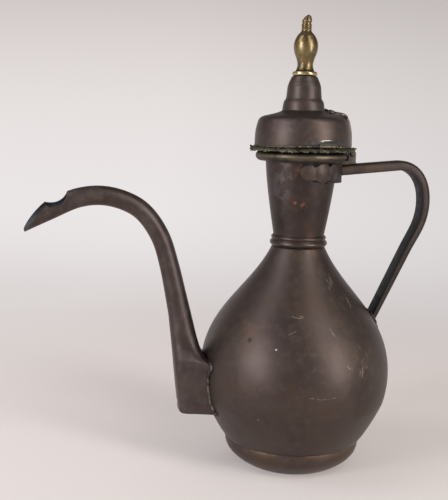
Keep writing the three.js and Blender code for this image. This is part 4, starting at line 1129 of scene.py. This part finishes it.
def handleRings(growth, steps=20):
    wide, corner = handle["halfWidth"] + growth, handle["corner"]
    rings, line = [], handleLine()
    for i, (point, out, thickness) in enumerate(line):
        full, squarer = thickness + growth, handle["squareTop"] - handle["squareLow"]
        power = 2 / (handle["squareLow"] + squarer * max(0, 1 - 1.25 * i / len(line)))
        half = [(-growth, wide - corner), (-growth + 0.3 * corner, wide - 0.2 * corner), (-growth + corner, wide)]
        arc = [(handle["edge"] + (full - handle["edge"]) * math.sin(a) ** power,
                wide * math.copysign(abs(math.cos(a)) ** power, math.cos(a)))
               for a in (math.pi * j / steps for j in range(1, steps))]
        section = half + arc + [(depth, -y) for depth, y in reversed(half)]
        rings.append([Vector((point.x + out.x * depth, y, point.y + out.y * depth)) for depth, y in section])
    return rings


def rootTenon(name, growth):
    middle, half = rootZ + handle["rootThickness"] / 2, handle["tenonHeight"] / 2 + growth
    wide = handle["tenonHalfWidth"] + growth
    return block(name, (rootX - handle["tenonLength"] - growth, -wide, middle - half),
                 (rootX + handle["tenonLength"], wide, middle + half))


def topRun(x):
    (first, _, _), (second, _, _) = handleLine()[0], handleLine()[9]
    return first.y + (second.y - first.y) * (x - first.x) / (second.x - first.x)


def postTenon(name, growth):
    top = topRun(pin["x"]) + handle["rootThickness"]
    return rod(name, (pin["x"], 0, top - pin["tenonLength"] - growth), (pin["x"], 0, top + pin["tenonRadius"]),
               pin["tenonRadius"] + growth)


def makeHandle():
    piece = grown("handleBar", handleRings(0))
    wide = 2 * handle["halfWidth"]
    face = rootX - fit + 0.05
    carved(piece, block("behindCutter", (0, -wide, plateHigh - 2 * bossHeight), (face, wide, vessel["mouthHeight"])))
    carved(piece, envelope("seatCutter", bodySide, 2 * fit + plateThickness))
    carved(piece, postTenon("postHole", fit))
    carved(piece, rootTenon("tenonBlock", 0), "UNION")
    settled(piece, "root", ["handle_bar"], handleCopper, angle=40)
    line = handleLine()

    # Painted shade: faces turned towards the body, the handle's inner face, take the near-black copper.
    def isGrip(centre, normal):
        spot = Vector((centre.x, centre.z))
        near = min(line, key=lambda entry: (entry[0] - spot).length)
        return normal.x * near[1].x + normal.z * near[1].y < -0.3
    lined(piece, paintedShadeCopper, isGrip)


# Plates that carry the handle

# Lobes at each side: degrees round, radius as a share of the boss height, dome.
plateLobes = [(47, 0.45, 0.5), (71, 0.48, 0.95), (95.5, 0.39, 0.45)]
plate = dict(rise=0.05, flank=15.2, sides=48, rings=9, edge=0.45, bossEdge=0.5)


# A lobe drawn flat: a disc with a rounded edge and a low dome.
def flatLobe(name, radius, dome, x=0, y=0):
    top, edge, eye = fit + plateThickness, plate["edge"], 0.15
    line = [(eye, fit), (radius - 0.25, fit), (radius, fit + 0.25), (radius, top - edge), (radius - 0.14, top - 0.14)]
    for i in range(1, plate["rings"] + 1):
        share = 1 - i / plate["rings"]
        line.append((max((radius - edge) * share, eye), top + dome * (1 - share ** 2) ** 1.3))
    return grown(name, [[Vector((x + r * math.cos(a), y + r * math.sin(a), z)) for a in wholeTurn(plate["sides"])]
                        for r, z in line])


def flatStrip(name, low, high, start, end, steps):
    top, edge = fit + plateThickness, 0.3
    section = [(low, fit), (high, fit), (high, top - edge), (high - edge, top), (low + edge, top), (low, top - edge)]
    return grown(name, [[Vector((start + (end - start) * i / steps, y, z)) for y, z in section]
                        for i in range(steps + 1)])


def makeNeckPlate():
    radius = radiusAt(neckSide, plateMiddle)
    reach = math.radians(plateLobes[-1][0]) * radius
    piece = wrapped(flatStrip("neckPlate", -0.32 * bossHeight, 0.34 * bossHeight, -reach, reach, 72),
                    neckSide, 0, plateMiddle)
    low = plateHigh - bossHeight
    flankX = math.sqrt(radius ** 2 - plate["flank"] ** 2) + 0.2
    half = [(0, plate["flank"]), (flankX, plate["flank"]), (bossFace - 1.2, bossHalfWidth + 0.2),
            (bossFace, bossHalfWidth - 1.8)]
    outline = [(x, -y) for x, y in half] + half[::-1]
    boss = grown("boss", [[Vector((x, y, z)) for x, y in outline] for z in (low, plateHigh)])
    bevelled(boss, plate["bossEdge"], 25)
    carved(piece, boss, "UNION")
    for side in (-1, 1):
        for azimuth, share, dome in plateLobes:
            lobeRadius = share * bossHeight
            height = min(plateMiddle + plate["rise"] * bossHeight, plateHigh - lobeRadius)
            lobe = wrapped(flatLobe("lobe", lobeRadius, dome), neckSide, side * azimuth, height)
            carved(piece, lobe, "UNION")
    carved(piece, envelope("neckCutter", neckSide, fit))
    carved(piece, rootTenon("tenonPocket", fit))
    settled(piece, "root", ["neck_plate"], plateCopper, angle=38)

    # Painted shade: the upper and lower edge faces of the plate and its lobes take the near-black copper.
    def isShadedEdge(centre, normal):
        out = abs(normal.x * centre.x + normal.y * centre.y)
        return abs(normal.z) > 0.35 and centre.x < 18 and out < 0.35 * centre.xy.length
    lined(piece, paintedShadeCopper, isShadedEdge)


bodyPlate = dict(radius=7.6, petal=0.78)


def makeBodyPlate():
    radius = bodyPlate["radius"] * bodyPlate["petal"]
    piece = None
    for x, y in ((0, 0), (1, 0), (-1, 0), (0, -1)):
        petal = flatLobe("petal", radius, 0.05 * (1 + abs(x)), x * bodyPlate["radius"], y * bodyPlate["radius"])
        piece = carved(piece, petal, "UNION") if piece else petal
    piece.name = piece.data.name = "bodyPlate"
    wrapped(piece, bodySide, 0, handle["landing"])
    settled(piece, "root", ["body_plate"], plateCopper, angle=40)


# Hinge

# A rod along the hinge's axis.
def hingeRod(name, half, radius):
    return rod(name, (pin["x"], -half, pin["z"]), (pin["x"], half, pin["z"]), radius)


def makeHingePost():
    low = topRun(pin["x"]) + handle["edge"] + fit
    left, right = pin["x"] - pin["cheekRadius"], pin["x"] + pin["cheekRadius"]
    foot = topRun(pin["x"]) + handle["rootThickness"]
    outline = [(bossFace + 0.1, low), (right + 1.6, low), (right + 1.5, foot + 0.4), (right + 0.5, foot + 1),
               (right, foot + 2.2)]
    outline += [(pin["x"] + pin["cheekRadius"] * math.cos(a), pin["z"] + pin["cheekRadius"] * math.sin(a))
                for a in (math.pi * i / 24 for i in range(25))]
    outline += [(left, foot + 3.4), (left - 0.6, foot + 2.4), (bossFace + 0.1, foot + 1.9)]
    piece = grown("hingePost", [[Vector((x, y, z)) for x, z in outline] for y in (-postHalfWidth, postHalfWidth)])
    carved(piece, grown("handleCutter", handleRings(fit)))
    half, far = pin["knuckleHalfWidth"] + pin["gap"], pin["cheekRadius"] + overrun
    carved(piece, block("slotCutter", (pin["x"] - far, -half, pin["z"] - pin["knuckleRadius"] - pin["gap"]),
                        (pin["x"] + far, half, pin["z"] + far)))
    bevelled(piece, pin["cheekEdge"], 35)
    carved(piece, postTenon("tenon", 0), "UNION")
    carved(piece, hingeRod("eyeCutter", postHalfWidth + overrun, pin["radius"] + fit))
    settled(piece, "root", ["hinge_post"], plateCopper, angle=40)


def makeHingePin():
    face = postHalfWidth + fit
    end, half = face + pin["headThickness"], pin["headThickness"] / 2
    line = [(0, -end), (pin["headRadius"] - half, -end), (pin["headRadius"], half - end), (pin["headRadius"], -face),
            (pin["radius"], -face), (pin["radius"], face), (pin["headRadius"], face), (pin["headRadius"], end - half),
            (pin["headRadius"] - half, end), (0, end)]
    piece = spun("hingePin", softened(line, 0.3), 40)
    placed(piece, (math.pi / 2, 0, 0), (pin["x"], 0, pin["z"]))
    settled(piece, "root", ["hinge_pin"], pinIron, angle=40)


# Lid

lid = dict(
    flangeWidth=4.65, flangeThickness=1.2, bezelGap=0.8, bezelDepth=7.2, bezelTaper=1.3, bezelLip=2,
    overhang=8.65, height=25, eyeRadius=10, turretRadius=15.3, turretHeight=24.5,
)
# The rivets sit at shares of the way over the dome's side.
rivet = dict(radius=1.2, head=2.3, rise=0.45, reach=6, shares=(0.28, 0.73))
strap = dict(
    thickness=1.5, halfWidth=5.5, lobe=5.2, reach=19, step=0.35, topShare=0.98, edgeDrop=0.35,
    lift=0.9, liftX=28, liftRun=6, camber=0.7, camberHalfWidth=10.5, fadeRun=6,
)
finialSizes = dict(
    collarRadius=9.1, collarHeight=3.2, radius=8.7, height=39.7, tang=2, rove=5, roveThickness=1.2, peen=0.64,
    tip=5.5, tipLean=0.9, tipFlat=0.35,
)
flangeLow = vessel["mouthHeight"] + fit
flangeTop = flangeLow + lid["flangeThickness"]
domeLow = flangeTop + fit
domeRadius = vessel["mouthRadius"] + lid["overhang"]
domeTop = domeLow + lid["height"]
turretLow = domeTop + fit
turretTop = turretLow + lid["turretHeight"]
collarLow = turretTop + fit
finialLow = collarLow + finialSizes["collarHeight"] + fit
bezelRadius = vessel["mouthRadius"] - wall - lid["bezelGap"]


# The dome's outer line from its foot to the eye at its top. Its foot can start a little higher.
def domeLine(steps=16, start=0):
    def place(r, z):
        return (r * domeRadius, domeLow + start * (1 - z) + z * lid["height"])
    side = bezier(place(1, 0), place(1, 0.4), place(0.98, 0.5), place(0.955, 0.62), steps)
    shoulder = bezier(place(0.955, 0.62), place(0.935, 0.75), place(0.91, 0.815), place(0.8, 0.862), steps)
    crown = [place(0.72, 0.888), place(0.62, 0.925), place(0.52, 0.966)]
    return side + shoulder[1:] + crown + [(lid["turretRadius"] + 0.95, domeTop), (lid["eyeRadius"], domeTop)]


# A knock at the front right has flattened the dome's foot under a short ridge.
bruise = dict(azimuth=-70, spread=28, rise=4.7, depth=0.75, ridge=0.6)


def makeDome():
    piece = spun("lidDome", sheetLine(domeLine(24, wall / 2)), 220)
    for vertex in piece.data.vertices:
        point = vertex.co / mm
        radius, azimuth = turnOf(point)
        turn = (azimuth - bruise["azimuth"]) / bruise["spread"]
        if abs(turn) >= 1 or radius < domeRadius - 3:
            continue
        height = point.z - domeLow
        top = bruise["rise"] * (1 - turn ** 2) ** 0.8
        if height < top:
            push = -bruise["depth"] * math.sin(math.pi * min(1, height / top) * 0.9 + 0.3) * (1 - turn ** 2)
        else:
            push = bruise["ridge"] * (1 - turn ** 2) * math.exp(-((height - top) / 1.6) ** 2)
        out = Vector((point.x, point.y, 0)).normalized()
        vertex.co = (point + out * push) * mm
    rivetHoles(piece)
    settled(piece, "lid", ["lid_dome"], lidCopper)
    lined(piece, tinLining, facesInside)


# The place and outward direction at a share of the way over the dome's side.
def domePlace(share):
    line = [Vector(p) for p in domeLine()]
    lengths = [(b - a).length for a, b in zip(line, line[1:])]
    left = share * sum(lengths)
    for a, b, length in zip(line, line[1:], lengths):
        if left <= length:
            tangent = (b - a).normalized()
            point = a.lerp(b, left / length)
            return Vector((point.x, 0, point.y)), Vector((tangent.y, 0, -tangent.x))
        left -= length


def rivetHoles(piece):
    for share in rivet["shares"]:
        point, out = domePlace(share)
        reach = out * rivet["reach"]
        carved(piece, rod("rivetHole", point - reach, point + reach, rivet["radius"] + fit, 32))


def makeRivets():
    inner, outer = -wall - fit, 2 * fit + strap["thickness"]
    r, head, rise = rivet["radius"], rivet["head"], rivet["rise"]
    quarter = [math.pi / 2 * i / 8 for i in range(9)]
    line = [(head * math.sin(a), inner - rise * math.cos(a)) for a in quarter] + [(r, inner), (r, outer)]
    line += [(head * math.cos(a), outer + rise * math.sin(a)) for a in quarter]
    for share, name, node in zip(rivet["shares"], ("strapRivetSide", "strapRivetTop"),
                                 ("strap_rivet_side", "strap_rivet_top")):
        point, out = domePlace(share)
        piece = spun(name, line, 32)
        placed(piece, (0, math.atan2(out.x, out.z), 0), point + Vector((0, 0, strapLiftAt(point.x))))
        settled(piece, "lid", [node], paleLitStrapCopper, angle=35)


# The strap's leaf is arched: it bulges off the dome between its lobes and its middle stands higher than its edges.
def strapLiftAt(x, y=0):
    hump = strap["lift"] * math.exp(-((x - strap["liftX"]) / strap["liftRun"]) ** 2)
    fade = min(1, max(0, (domeRadius - 1 - x) / strap["fadeRun"]))
    return hump + strap["camber"] * fade * max(0, 1 - (y / strap["camberHalfWidth"]) ** 2)


# Half the strap's width: narrow at the knuckle, then even, then out round the two side lobes and the end lobe.
def strapHalfAt(x, z):
    if z < domeLow:
        return pin["knuckleHalfWidth"]
    lobe, tipX = strap["lobe"], domeRadius - strap["reach"]
    wide = strap["halfWidth"] if x > tipX + 2 * lobe else 0.3
    for centre, side in ((tipX + lobe, 0), (tipX + 2 * lobe + 0.4, 0.93 * lobe)):
        if abs(x - centre) < lobe:
            wide = max(wide, side + math.sqrt(lobe ** 2 - (x - centre) ** 2))
    return wide


# A line's points at even steps.
def evened(line, step):
    points, left = [line[0]], step
    for a, b in zip(line, line[1:]):
        a, b = Vector(a), Vector(b)
        while left < (b - a).length:
            points.append(tuple(a.lerp(b, left / (b - a).length)))
            left += step
        left -= (b - a).length
    return points


def makeStrap():
    outer = domeLine()[:-1]
    tipX = domeRadius - strap["reach"]
    last, before = outer[-1], outer[-2]
    outer.append((tipX - 1, last[1] + (last[0] - tipX + 1) * (last[1] - before[1]) / (before[0] - last[0])))
    stem = [(domeRadius + fit, pin["z"] + (domeLow - pin["z"]) * i / 6) for i in range(6)]
    line = [p for p in evened(stem + moved(outer, -fit), strap["step"]) if p[0] > tipX + 0.1]
    rings = []
    across = [math.sin(math.pi / 2 * (i / 7 - 1)) for i in range(15)]
    for a, b in zip(line, moved(line, -strap["thickness"])):
        wide = strapHalfAt(*a)
        low, high = Vector((a[0], 0, a[1])), Vector((b[0], 0, b[1]))
        under = [Vector((a[0], t * wide, a[1])) for t in across]
        over = [high.lerp(low, strap["edgeDrop"] * t ** 12) + Vector((0, t * wide * strap["topShare"], 0))
                for t in across]
        rings.append(under + over[::-1])
    piece = grown("lidStrap", rings)
    carved(piece, hingeRod("knuckle", pin["knuckleHalfWidth"], pin["knuckleRadius"]), "UNION")
    carved(piece, hingeRod("eye", pin["knuckleHalfWidth"] + overrun, pin["radius"] + fit))
    rivetHoles(piece)
    for vertex in piece.data.vertices:
        vertex.co.z += strapLiftAt(vertex.co.x / mm, vertex.co.y / mm) * mm
    settled(piece, "lid", ["lid_strap"], paleLitStrapCopper, angle=40)


# It droops away from the strap. Torn: azimuth, spread and depth. Leafs: azimuth, spread and curl.
flange = dict(
    steps=720, fray=1.0, mostFray=1.2, wave=0.4, crumple=0.8, droop=2.4, clear=20, clearRun=18, lean=0.8,
    leanMore=0.2, torn=(163, 14, 1.3), leafs=((174, 4, 3.4), (162, 3, 2.3), (-24, 4, 0.9)),
)


# The flange is thin brass, frayed by wear: its edge is ragged, and it curls up at two places.
def makeFlange():
    inner, outer = bezelRadius + fit, domeRadius + lid["flangeWidth"]
    middle = (flangeLow + flangeTop) / 2
    line = [(inner, flangeLow + 0.25), (inner, flangeTop - 0.15)]
    line += [(inner + (outer - inner) * i / 8, flangeTop - 0.1) for i in (3, 6, 7)]
    line += [(outer - 0.5, middle + 0.3), (outer, middle), (outer - 0.5, middle - 0.3)]
    line += [(inner + (outer - inner) * i / 8, flangeLow + 0.15) for i in (7, 6, 3)] + [(inner, flangeLow + 0.25)]

    def ragged(point):
        radius, turn = turnOf(point)
        edge = max(0, (radius - domeRadius + 0.5) / (outer - domeRadius + 0.5))
        flat = Vector((point.x, point.y, 0))
        fray = noise.noise(flat * 0.55) + 0.7 * noise.noise(flat * 1.6)
        cut = flange["fray"] * edge * (0.5 + fray)
        away = abs(turnFrom(0, turn))
        lean = flange["lean"] + flange["leanMore"] * (1 - math.cos(math.radians(away))) / 2
        droop = flange["droop"] * lean * min(1, max(0, (away - flange["clear"]) / flange["clearRun"])) * edge ** 1.5
        crumple = noise.noise(flat * 0.5 + Vector((9, 0, 0))) + 0.7 * noise.noise(flat * 1.3)
        lift = edge * (flange["wave"] * noise.noise(flat * 0.16) + flange["crumple"] * crumple) - droop
        for azimuth, spread, curl in flange["leafs"]:
            lift += edge ** 2 * curl * math.exp(-(turnFrom(azimuth, turn) / spread) ** 2)
        azimuth, spread, depth = flange["torn"]
        tear = depth * edge * math.exp(-(turnFrom(azimuth, turn) / spread) ** 2)
        point = point - flat.normalized() * (min(cut, flange["mostFray"]) + tear) + Vector((0, 0, lift))
        if radius < domeRadius + 0.6:
            point.z = min(point.z, domeLow - 0.1)
        return point
    piece = reshaped(spun("lidFlange", line, flange["steps"]), ragged)
    strapX, half = domeRadius + fit, pin["knuckleHalfWidth"] + fit
    carved(piece, block("strapSlot", (strapX - fit, -half, flangeLow - 6),
                        (strapX + strap["thickness"] + fit, half, flangeTop + 6)))
    settled(piece, "lid", ["lid_flange"], raggedBrass, angle=50)


flangeSolder = dict(
    steps=420, sides=10, azimuth=-82, spread=40, least=0.18, radius=0.45, lumps=0.3, frontRadius=0.75,
    frontLumps=0.85, out=0.35, frontOut=0.3, rise=0.1, frontRise=1.1, flatness=0.8,
)


# Hard solder between flange and dome, in lumps and torn slivers at the front.
def makeFlangeSolder():
    s, rings, sides = flangeSolder, [], flangeSolder["sides"]
    for i in range(s["steps"]):
        turn = 360 * i / s["steps"]
        spot = turnPoint(domeRadius, turn, domeLow)
        lump = noise.noise(spot * 0.32) + 0.6 * noise.noise(spot * 1.1)
        front = math.exp(-(turnFrom(s["azimuth"], turn) / s["spread"]) ** 2)
        radius = s["radius"] + s["lumps"] * lump + front * (s["frontRadius"] + s["frontLumps"] * lump)
        radius = max(s["least"], radius)
        middle = turnPoint(domeRadius + s["out"] + s["frontOut"] * front, turn,
                           flangeTop + s["rise"] + s["frontRise"] * front)
        out = turnPoint(1, turn, 0)
        rings.append([middle + out * radius * math.cos(a) + Vector((0, 0, radius * s["flatness"] * math.sin(a)))
                      for a in wholeTurn(sides)])
    piece = grown("flangeSolder", rings + [rings[0]])
    pick(piece)
    bpy.ops.object.mode_set(mode="EDIT")
    bpy.ops.mesh.select_all(action="DESELECT")
    mesh = bmesh.from_edit_mesh(piece.data)
    for face in mesh.faces:
        face.select = len(face.verts) == sides
    bmesh.update_edit_mesh(piece.data)
    bpy.ops.mesh.delete(type="ONLY_FACE")
    bpy.ops.object.mode_set(mode="OBJECT")
    settled(recalculated(piece), "lid", [], raggedBrass, angle=60)


def makeBezel():
    low, shoulder = vessel["mouthHeight"] - lid["bezelDepth"], vessel["mouthHeight"] - rim["drop"]
    lip, inside = domeLow + wall, bezelRadius - wall
    line = [(bezelRadius - lid["bezelTaper"], low), (bezelRadius, shoulder), (bezelRadius, domeLow),
            (bezelRadius + lid["bezelLip"], domeLow), (bezelRadius + lid["bezelLip"], lip), (inside, lip),
            (inside, shoulder), (inside - lid["bezelTaper"], low)]
    line = softened(line[-1:] + line + line[:1], 0.4)[1:-1]
    settled(spun("lidBezel", line + [line[0]]), "lid", ["lid_bezel"], tinLining, angle=40)


turretShares = [
    (1, 0), (1, 0.03), (0.985, 0.12), (0.965, 0.2), (0.935, 0.27), (0.885, 0.32), (0.85, 0.355), (0.836, 0.4),
    (0.82, 0.5), (0.805, 0.6), (0.79, 0.7), (0.77, 0.745), (0.75, 0.79), (0.69, 0.88), (0.63, 0.96), (0.595, 1),
]


def makeTurret():
    outer = [(r * lid["turretRadius"], turretLow + z * lid["turretHeight"]) for r, z in turretShares]
    outer, under = threaded(outer, 4), turretTop - wall
    inner = [p for p in moved(outer, wall) if p[1] < under]
    inner[0] = (lid["turretRadius"] - wall, turretLow)
    eye = finialSizes["tang"] + fit
    line = outer + [(eye, turretTop), (eye, under), (inner[-1][0] - fit, under)] + inner[::-1] + [outer[0]]
    piece = spun("lidTurret", line)
    settled(piece, "lid", ["lid_turret"], turretCopper)
    lined(piece, tinLining, facesInside)


# A fillet of hard solder round the turret's foot.
def makeTurretSolder():
    low, r = domeTop - 0.05, lid["turretRadius"]
    line = [(r - 0.1, low), (r + 0.9, low), (r + 0.5, low + 0.25), (r + 0.2, low + 0.5), (r - 0.1, low + 0.9),
            (r - 0.1, low)]

    def lumpy(point):
        flat = Vector((point.x, point.y, 0))
        grow = max(0, flat.length - r + 0.1 + max(0, point.z - low)) * 0.35
        return point + flat.normalized() * grow * noise.noise(point * 0.5)
    piece = reshaped(spun("turretSolder", line, 180), lumpy)
    settled(piece, "lid", [], brassSolder, angle=60)


finialShares = [
    (0.8, 0), (0.72, 0.03), (0.645, 0.095), (0.66, 0.145), (0.72, 0.2), (0.8, 0.25), (0.9, 0.305), (0.965, 0.36),
    (1, 0.42), (0.995, 0.47), (0.955, 0.52), (0.87, 0.57), (0.75, 0.62), (0.6, 0.66), (0.47, 0.69), (0.405, 0.715),
    (0.43, 0.735), (0.385, 0.75), (0.43, 0.768), (0.385, 0.785), (0.435, 0.805), (0.36, 0.84), (0.41, 0.875),
    (0.4, 0.9), (0.33, 0.94), (0.24, 0.975), (0, 1),
]


# The line of a ring round the tang, with bevelled outer corners.
def tangRing(radius, low, top, corner):
    bore = finialSizes["tang"] + fit
    return [(bore, low), (radius - corner, low), (radius, low + corner), (radius, top - corner),
            (radius - corner, top), (bore, top), (bore, low)]


def makeCollar():
    high = finialSizes["collarHeight"]
    line = tangRing(finialSizes["collarRadius"], collarLow, collarLow + high, high / 4)
    piece = spun("finialCollar", softened(line, 0.5), 96)
    settled(piece, "lid", ["finial_collar"], brightBrass, angle=50)


def makeRove():
    top, thick = turretTop - wall - fit, finialSizes["roveThickness"]
    line = tangRing(finialSizes["rove"], top - thick, top, thick / 4)
    settled(spun("finialRove", softened(line, 0.2), 64), "lid", ["finial_rove"], finialBrass, angle=40)


# The finial's tip is worn to one side.
def makeFinial():
    f = finialSizes
    knob = threaded([(r * f["radius"], finialLow + z * f["height"]) for r, z in finialShares], 5)
    knob[-1] = (0, finialLow + f["height"])
    headTop = turretTop - wall - 2 * fit - f["roveThickness"]
    thick, peen = f["roveThickness"], f["rove"] * f["peen"]
    head = [(0, headTop - thick), (f["tang"], headTop - thick), (peen, headTop - thick / 2), (peen, headTop),
            (f["tang"], headTop)]
    piece = spun("finialKnob", softened(head, 0.3) + [(f["tang"], finialLow)] + knob, 96)
    lean, top = turnPoint(1, -view["azimuth"], 0), finialLow + f["height"]

    def worn(point):
        share = max(0, (point.z - (top - f["tip"])) / f["tip"])
        point += lean * f["tipLean"] * share ** 1.5
        point.z += f["tipFlat"] * share * min(0, point.dot(lean) - f["tipLean"])
        return point
    reshaped(piece, worn)
    settled(piece, "lid", ["finial"], finialBrass, angle=40)


makeFoot()
makeBody()
makeNeckRing()
makeNeck()
makeRim()
print("foot, body, neck and rim are made")
makeSpout()
makeSole()
makeSpoutSolder()
print("spout is made")
makeHandle()
makeNeckPlate()
makeBodyPlate()
print("handle and plates are made")
makeHingePost()
makeHingePin()
makeStrap()
makeRivets()
print("hinge and strap are made")
makeFlange()
makeFlangeSolder()
makeBezel()
makeDome()
makeTurret()
makeTurretSolder()
makeCollar()
makeRove()
makeFinial()
print("lid and finial are made")
